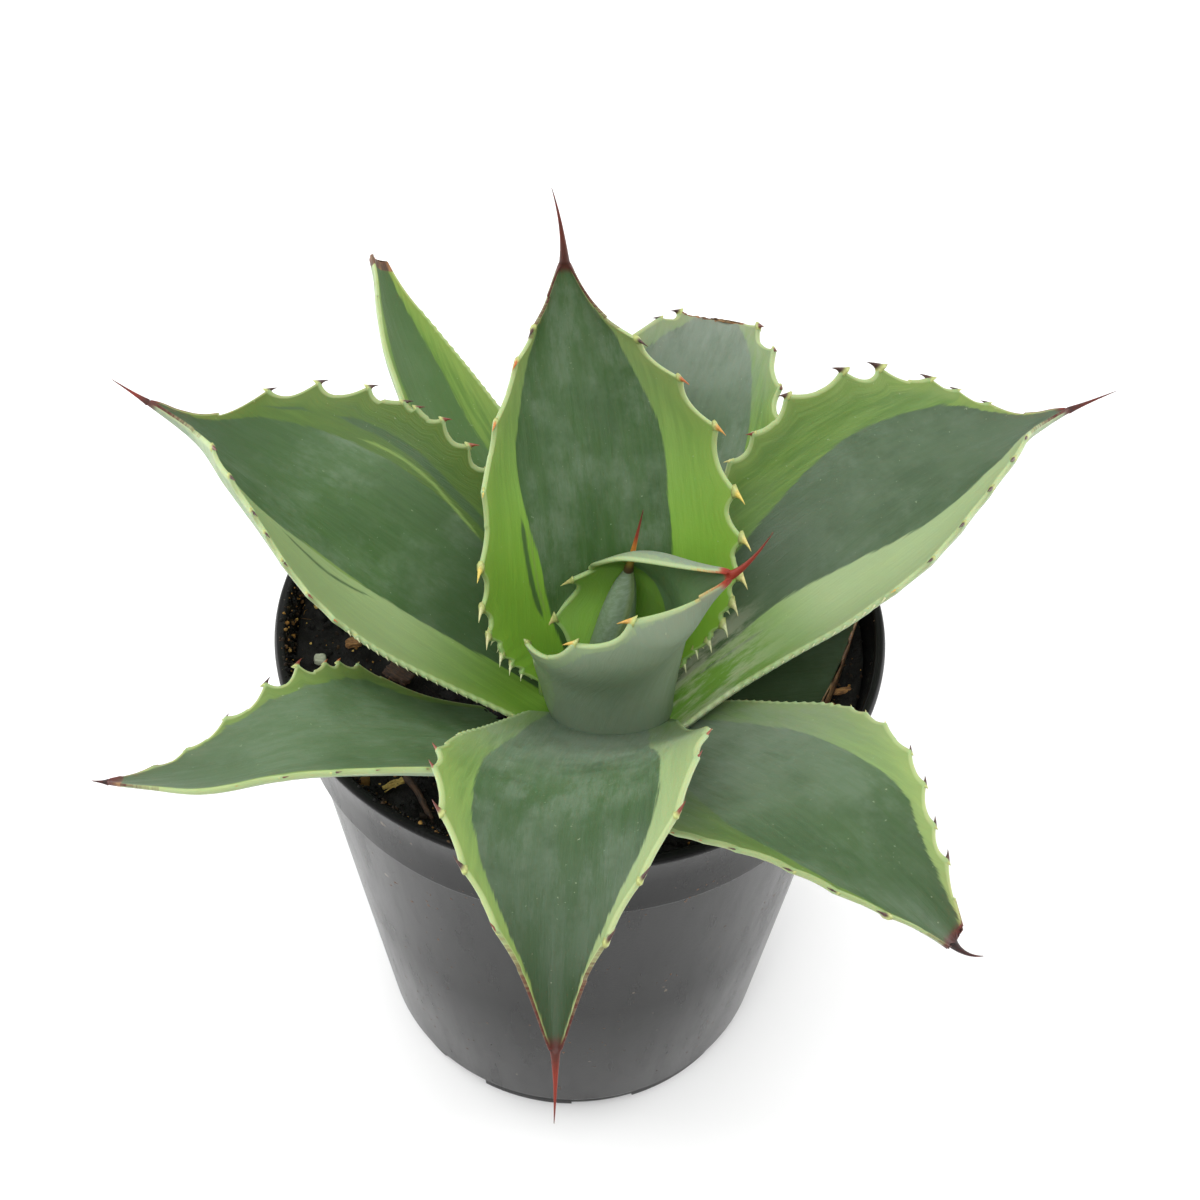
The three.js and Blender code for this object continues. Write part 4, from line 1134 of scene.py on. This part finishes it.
def make_bud():
    """The rolled cone of the next leaf and its spine, with the seam of its outer edge."""
    sides, steps, spine_steps = 72, 90, 40
    foot, heading = np.array(BUD["foot"]), math.radians(BUD["heading"])
    lean = np.array([math.cos(heading), math.sin(heading), 0]) * BUD["lean"] / BUD["length"]
    points, values = [], {"turn_mm": [], "rise_share": [], "seam_mm": [], "spine_share": []}
    for i in range(steps + spine_steps + 1):
        share, beyond = min(i / steps, 1.0), max(i - steps, 0) / spine_steps
        height = BUD["length"] * share + BUD["spine"] * beyond
        radius = float(smooth(BUD["shares"], BUD["radii"], share))
        if beyond:
            radius = 0.55 * (1 - beyond) ** 0.8 + 0.6 * (1 - beyond) ** 3 + BUD["spine_tip"]
            radius += 0.12 * math.exp(-((beyond - 0.04) / 0.04) ** 2)
        for k in range(sides):
            angle = 2 * math.pi * k / sides
            wrap = math.remainder(angle - BUD["seam"] - BUD["seam_turn"] * share, 2 * math.pi)
            step = BUD["seam_step"] * math.exp(-wrap / 0.8) if wrap > 0 and not beyond else 0
            size = (radius + step) * (1 + 0.012 * math.sin(3 * angle + 5 * share))
            points.append(foot + lean * height + (size * math.cos(angle), size * math.sin(angle), height))
            row = (radius * angle + 3, share, 5 if beyond else abs(wrap) * radius, beyond)
            for found, value in zip(values.values(), row):
                found.append(value)
    mesh = make_mesh("leaf_bud", points, skin_faces(steps + spine_steps + 1, sides), values, closed=True)
    mesh.materials.append(bud_material())
    finish_piece(link("leaf_bud_cone", mesh), "leaf_skin", "leaf_bud")


# ---- pot


def ring_points(radius, z, angles):
    return np.stack([radius * np.cos(angles), radius * np.sin(angles), np.full_like(angles, z)], -1)


def lathe_band(profile, sides):
    """Points and faces of a band turned round the axis, open at both ends."""
    angles = np.arange(sides) * 2 * math.pi / sides
    points = np.vstack([ring_points(radius, z, angles) for radius, z in profile])
    faces = skin_faces(len(profile), sides, near=False, far=False)
    return points, faces


def floor_plate(z, sides, radii, holes):
    """A flat floor between the radii, with a round hole in each window of the grid."""
    angles = np.arange(sides) * 2 * math.pi / sides
    points = [np.array([[0.0, 0.0, z]])] + [ring_points(radius, z, angles) for radius in radii]
    points = np.vstack(points)
    faces = [(0, 1 + k, 1 + (k + 1) % sides) for k in range(sides)]
    first, last, wide = 2, len(radii) - 1, 9
    windows = set()
    for hole in holes:
        windows |= {(hole + k) % sides for k in range(-wide, wide)}
    for r in range(len(radii) - 1):
        for k in range(sides):
            if r >= first and k in windows:
                continue
            a, b = 1 + r * sides + k, 1 + r * sides + (k + 1) % sides
            faces.append((a, b, b + sides, a + sides))
    rims, more = [], []
    for hole in holes:
        spots = [(hole + k) % sides for k in range(-wide, wide + 1)]
        loop = [1 + first * sides + k for k in spots]
        loop += [1 + r * sides + spots[-1] for r in range(first + 1, last)]
        loop += [1 + last * sides + k for k in reversed(spots)]
        loop += [1 + r * sides + spots[0] for r in range(last - 1, first, -1)]
        turn = 2 * math.pi * hole / sides
        middle = np.array([POT["hole_at"] * math.cos(turn), POT["hole_at"] * math.sin(turn), z])
        base = len(points) + len(more)
        for i, corner in enumerate(loop):
            away = points[corner] - middle
            more.append(middle + POT["hole"] * away / np.linalg.norm(away))
            after = (i + 1) % len(loop)
            faces.append((corner, loop[after], base + after, base + i))
        rims.append([base + i for i in range(len(loop))])
    return np.vstack([points, more]), faces, rims


def foot_arc(start, end, drop):
    """One closed stretch of the foot ring, its lower edges rounded."""
    inner, outer, top = POT["foot_inner"], POT["foot_outer"], POT["floor_low"] + 0.4
    profile = [(inner, top), (inner, drop + 0.7), (inner + 0.2, drop + 0.2), (inner + 0.7, drop),
               (outer - 1.0, drop), (outer - 0.3, drop + 0.3), (outer, drop + 1.0), (outer, top)]
    steps = max(int((end - start) / 1.5), 4)
    points, count = [], len(profile)
    for i in range(steps + 1):
        angle = math.radians(start + (end - start) * i / steps)
        points += [(radius * math.cos(angle), radius * math.sin(angle), z) for radius, z in profile]
    return points, skin_faces(steps + 1, count)


def make_pot():
    sides = POT["sides"]
    holes = [round((POT["gap_turn"] + 90 * quarter) % 360 * sides / 360) for quarter in range(4)]
    points, faces, total = [], [], 0

    def put_shell(shell, shell_faces):
        """Adds a shell and returns the number of its first point."""
        nonlocal total
        start = total
        points.append(np.array(shell))
        faces.extend(tuple(i + start for i in face) for face in shell_faces)
        total += len(shell)
        return start

    put_shell(*lathe_band(POT_OUTSIDE, sides))
    rims = []
    for level in ("floor_low", "floor_high"):
        plate, plate_faces, loops = floor_plate(POT[level], sides, FLOOR_RADII, holes)
        start = put_shell(plate, plate_faces)
        rims.append([[start + i for i in loop] for loop in loops])
    for below, above in zip(*rims):
        for i in range(len(below)):
            after = (i + 1) % len(below)
            faces.append((below[i], below[after], above[after], above[i]))
    for quarter in range(4):
        gap = POT["gap_turn"] + quarter * 90
        first, second = gap + POT["deep_span"] / 2, gap + 90 - POT["deep_span"] / 2
        notch_start, notch_end = gap + 45 - POT["shallow_span"] / 2, gap + 45 + POT["shallow_span"] / 2
        put_shell(*foot_arc(first, notch_start, 0))
        put_shell(*foot_arc(notch_start - 0.4, notch_end + 0.4, POT["shallow_depth"]))
        put_shell(*foot_arc(notch_end, second, 0))
    pad, axis, top = POT["pad"], 0.01, POT["floor_low"] + 0.4
    profile = [(axis, top), (pad, top), (pad, 0.6), (pad - 0.2, 0.15), (pad - 0.6, 0), (axis, 0)]
    put_shell(*lathe_band(profile, 48))
    mesh = make_mesh("nursery_pot", np.vstack(points), faces, closed=True, weld=0.03, crease=50)
    mesh.materials.append(pot_material())
    finish_piece(link("pot_shell", mesh), "pot_plastic", "nursery_pot")


# ---- soil and litter


def pot_inside(z):
    """Inner radius of the pot at a height."""
    collar = POT["collar"]
    if z >= collar:
        return 74.5 + (z - collar) / (POT["height"] - collar) * 4.9
    return 58 + z / collar * 16.5


def soil_height(x, y):
    edge = np.minimum(np.hypot(x, y) / pot_inside(SOIL["level"]), 1)
    lump = np.sin(0.13 * x + 1) * np.cos(0.11 * y) + 0.6 * np.sin(0.29 * x - 0.23 * y)
    return SOIL["level"] + SOIL["rise"] * edge**3 + lump * (1 - edge**6)


def soil_surface():
    """The rough top of the soil, from the middle to the wall."""
    rings, sides = SOIL["rings"], SOIL["sides"]
    outer = pot_inside(SOIL["level"] + SOIL["rise"]) - SOIL["gap"]
    points = [(0, 0)]
    for r in range(1, rings + 1):
        radius = outer * (r / rings) ** 0.8
        for k in range(sides):
            angle = 2 * math.pi * (k + 0.5 * (r % 2)) / sides
            points.append((radius * math.cos(angle), radius * math.sin(angle)))
    flat = np.array(points)
    height = soil_height(flat[:, 0], flat[:, 1])
    crown = np.hypot(flat[:, 0] - CROWN[0], flat[:, 1] - CROWN[1])
    height = height - 5 * ease(30, 14, crown)
    spots = np.column_stack([flat, np.zeros(len(flat))])
    height = height + 0.9 * lumps(spots, 0.16) + 0.5 * lumps(spots, 0.55, 4)
    faces = [(0, 1 + k, 1 + (k + 1) % sides) for k in range(sides)]
    faces += [tuple(i + 1 for i in face) for face in skin_faces(rings, sides, near=False, far=False)]
    return np.column_stack([flat, height]), faces


def make_soil():
    top, top_faces = soil_surface()
    sides, bottom = SOIL["sides"], SOIL["bottom"]
    rim, points = top[-sides:], [top]
    heights = (148, 138, 100, 50, 12, bottom)
    for z in heights:
        radius = pot_inside(z) - SOIL["gap"] - (2.2 if z == bottom else 0)
        points.append(rim * (radius / np.hypot(rim[:, 0], rim[:, 1]))[:, None] * (1, 1, 0) + (0, 0, z))
    points = np.vstack(points + [[[0, 0, bottom]]])
    start, last = len(top) - sides, len(points) - 1
    wall = skin_faces(len(heights) + 1, sides, near=False, far=False)
    faces = top_faces + [tuple(i + start for i in face) for face in wall]
    faces += [(last, last - sides + (k + 1) % sides, last - sides + k) for k in range(sides)]
    skin = soil_material()
    tint = 0.25 + 0.3 * lumps(points, 0.3, 9)
    piece = link("soil_body", make_mesh("potting_soil", points, faces, {"tint": tint}, closed=True))
    piece.data.materials.append(skin)

    group = scatter_tree()
    crumb, chip, strand = crumb_shape("crumb", 3, 0.8), crumb_shape("chip", 8, 0.35), strand_shape()
    bits = [piece]
    angles = np.radians(np.arange(120, 262, 2.0))
    rows = [(pot_inside(z) - CLING_INSET, z) for z in CLING_HEIGHTS] + CLING_LIP
    wall = np.vstack([ring_points(radius, z, angles) for radius, z in rows])
    wide = len(angles)
    strips = [(a, a + 1, a + wide + 1, a + wide) for a in range(len(wall) - wide) if (a + 1) % wide]
    top_soil, pot_wall = (top, top_faces), (wall, strips)
    strewn = [
        ("fine_crumbs", crumb, 140000, 0.5, 1.7, 3.0, 0.0, 0.84, top_soil),
        ("crumbs", crumb, 46000, 1.2, 3.4, 3.0, 0.0, 0.88, top_soil),
        ("bark_flakes", chip, 9000, 1.6, 4.6, 0.7, 0.1, 0.92, top_soil),
        ("pale_specks", crumb, 16000, 0.4, 1.1, 3.0, 0.82, 1.0, top_soil),
        ("fibres", strand, 12000, 2.0, 7.0, 0.35, 0.3, 0.97, top_soil),
        ("crumbs_on_wall", crumb, 460000, 0.5, 1.7, 3.0, 0.0, 0.93, pot_wall),
    ]
    for seed, (name, shape, density, small, large, tilt, dark, light, surface) in enumerate(strewn, 1):
        made = grown(name, make_mesh(name, *surface), group, Shape=shape, Per_Square_Metre=float(density),
                     Smallest=small * MM, Largest=large * MM, Tilt=tilt, Darkest=dark, Lightest=light,
                     Seed=seed, Material=skin)
        bits.append(link(name, made))
    for shape in (crumb, chip, strand):
        bpy.data.objects.remove(shape)
    finish_piece(join(bits), "potting_mix", "potting_soil")


def bent_rod(points, radii, flat, sides=14):
    """Points and faces of a rod that follows a line, flattened in height, with its grain."""
    points = np.array(points, float)
    rings, grain_along, grain_across = [], [], []
    run = 0.0
    for i, (centre, radius) in enumerate(zip(points, radii)):
        ahead = points[min(i + 1, len(points) - 1)] - points[max(i - 1, 0)]
        ahead /= np.linalg.norm(ahead)
        across = np.cross((0, 0, 1), ahead)
        across /= np.linalg.norm(across)
        over = np.cross(ahead, across)
        run += np.linalg.norm(centre - points[i - 1]) if i else 0
        for k in range(sides):
            angle = 2 * math.pi * k / sides
            bark = (centre[0] * 0.9 + 2 * math.cos(angle), centre[1] * 0.9, 2 * math.sin(angle))
            rough = 1 + 0.16 * noise.noise(Vector(bark))
            away = across * math.cos(angle) + over * flat * math.sin(angle)
            rings.append(centre + radius * rough * away)
            grain_along.append(run)
            grain_across.append(radius * angle)
    return rings, skin_faces(len(points), sides), {"grain_along": grain_along, "grain_across": grain_across}


def put_litter(name, shapes, material, slot):
    """Joins a bit's shapes, turns them and rests them on the soil where the bit lies."""
    bit = LITTER[name]
    (x, y), turn = bit["at"], math.radians(bit["turn"])
    z = float(soil_height(np.array(x), np.array(y))) + bit["size"][2] / 4
    spin = np.array([[math.cos(turn), -math.sin(turn), 0], [math.sin(turn), math.cos(turn), 0], [0, 0, 1]])
    pieces = []
    for i, (points, faces, values) in enumerate(shapes):
        placed = np.array(points) @ spin.T + (x, y, z)
        pieces.append(link(f"{name}_{i}", make_mesh(name, placed, faces, values, closed=True)))
    piece = join(pieces) if len(pieces) > 1 else pieces[0]
    piece.data.materials.append(material)
    piece.name = name + "_bit"
    finish_piece(piece, slot, name)


def rounded_bit(size, seed, square, rough):
    """A lump or, as square nears 1, a flake with corners, its grain along its length."""
    points, faces = ball(4, 1)
    points = points * (1 - square + square * 0.85 / np.abs(points).max(1, keepdims=True))
    points = points * (1 + rough * lumps(points, 1.3, seed) + 0.3 * rough * lumps(points, 5, seed))[:, None]
    points = np.clip(points, -1, 1) * (np.array(size) / 2)
    return points, faces, {"grain_along": points[:, 0], "grain_across": points[:, 1] + points[:, 2]}


def make_litter():
    bark = litter_material("bark", (34, 24, 16), (78, 50, 28), (24, 18, 13), 1.6)
    wood = litter_material("dry_wood", (94, 62, 32), (160, 118, 66), (60, 40, 25), 2.2)
    husk = litter_material("husk", (150, 122, 58), (206, 182, 104), (104, 80, 44), 1.4)
    grit = litter_material("granule", (150, 156, 132), (186, 190, 168), (112, 112, 94), 0.9)
    share = np.linspace(0, 1, 26)
    line = np.column_stack([15 * (share - 0.5), 0.5 * np.sin(5 * share), 0.3 * np.sin(3 * share + 1)])
    radii = 1.0 * (1 - 0.35 * share) * np.minimum(1, 6 * np.minimum(share, 1 - share) + 0.55)
    twig = bent_rod(line, radii + 0.18 * np.exp(-((share - 0.62) / 0.03) ** 2), 0.9)
    line = np.column_stack([9 * (share - 0.5), 0.2 * np.sin(3 * share), 0.1 * np.sin(4 * share)])
    splinter = bent_rod(line, 1.05 * np.minimum(1, 3.2 * np.minimum(share + 0.02, 1.02 - share)), 0.7)
    strands = []
    for k in range(12):
        bend, lift = math.sin(2.4 * k), 0.5 * math.sin(1.7 * k + 1)
        line = np.column_stack([
            5.8 * (share - 0.5),
            1.5 * bend * (share - 0.5) + 0.6 * math.cos(1.1 * k) * np.sin(3.1 * share + 0.6 * k),
            0.55 * lift + 0.45 * np.sin(3.1 * share) * math.cos(k),
        ])
        strands.append(bent_rod(line, 0.16 + 0.06 * np.sin(math.pi * share), 1.0, 6))
    lump = {name: [rounded_bit(bit["size"], *bit["lump"])] for name, bit in LITTER.items() if "lump" in bit}
    for name, shapes, material, slot in (
        ("bark_chip_left", lump["bark_chip_left"], bark, "bark_litter"),
        ("bark_chip_edge", lump["bark_chip_edge"], wood, "bark_litter"),
        ("pale_granule", lump["pale_granule"], grit, "dry_litter"),
        ("seed_husk", lump["seed_husk"], husk, "dry_litter"),
        ("twig_front", [twig], bark, "bark_litter"),
        ("splinter_right", [splinter], wood, "bark_litter"),
        ("fibre_tuft", strands, husk, "dry_litter"),
    ):
        put_litter(name, shapes, material, slot)


def finish_stem():
    """The hidden stem and roots keep their solid and get the look of plant tissue."""
    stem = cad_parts["stem_and_roots"]
    stem.data.materials.clear()
    stem.data.materials.append(stem_material())


# ---- floor and light


def add_stage():
    half = 3
    corners = [(-half, -half, 0), (half, -half, 0), (half, half, 0), (-half, half, 0)]
    mesh = bpy.data.meshes.new("floor")
    mesh.from_pydata(corners, [], [(0, 1, 2, 3)])
    floor = link("floor", mesh)
    paint = Skin("floor", 0.95, Specular_IOR_Level=0.1)
    mesh.materials.append(paint.finish((0.97, 0.97, 0.97, 1)))


def add_light(name, place, size, power):
    data = bpy.data.lights.new(name, "AREA")
    data.energy = power
    data.size = size
    lamp = bpy.data.objects.new(name, data)
    lamp.location = place
    lamp.rotation_euler = (Vector((0, 0, 0.15)) - Vector(place)).to_track_quat("-Z", "Y").to_euler()
    bpy.context.scene.collection.objects.link(lamp)


def light_scene():
    """A wide soft light overhead and a white room that is dimmer behind the camera."""
    world = bpy.data.worlds.new("studio")
    world.use_nodes = True
    tree = Tree(world.node_tree)
    way = tree.split(tree.add("ShaderNodeTexCoord").outputs["Generated"])
    ahead = tree.plus(way[1], tree.times(way[2], 0.5))
    room = world.node_tree.nodes["Background"].inputs
    tree.put(room["Color"], (1, 1, 1, 1))
    tree.put(room["Strength"], tree.ramp(ahead, -0.6, 0.4, 0.5, 0.85))
    bpy.context.scene.world = world
    add_light("front", (-0.15, -0.75, 1.15), 0.7, 7.5)
    add_light("overhead", (-0.15, 0.3, 1.4), 1.5, 6)
    add_light("left", (-0.9, 0.25, 0.35), 0.7, 6)
    add_light("right", (0.9, 0.25, 0.35), 0.7, 5)
    bpy.context.scene.view_settings.view_transform = "Standard"


# ---- the whole plant

add_camera()
skin = leaf_material()
tooth = tooth_shape()
tooth_skin = tooth_material()
group = teeth_tree()
for name, leaf in LEAVES.items():
    make_leaf(name, leaf, skin, tooth, tooth_skin, group)
bpy.data.objects.remove(tooth)
make_bud()
make_pot()
make_soil()
make_litter()
finish_stem()

add_stage()
light_scene()
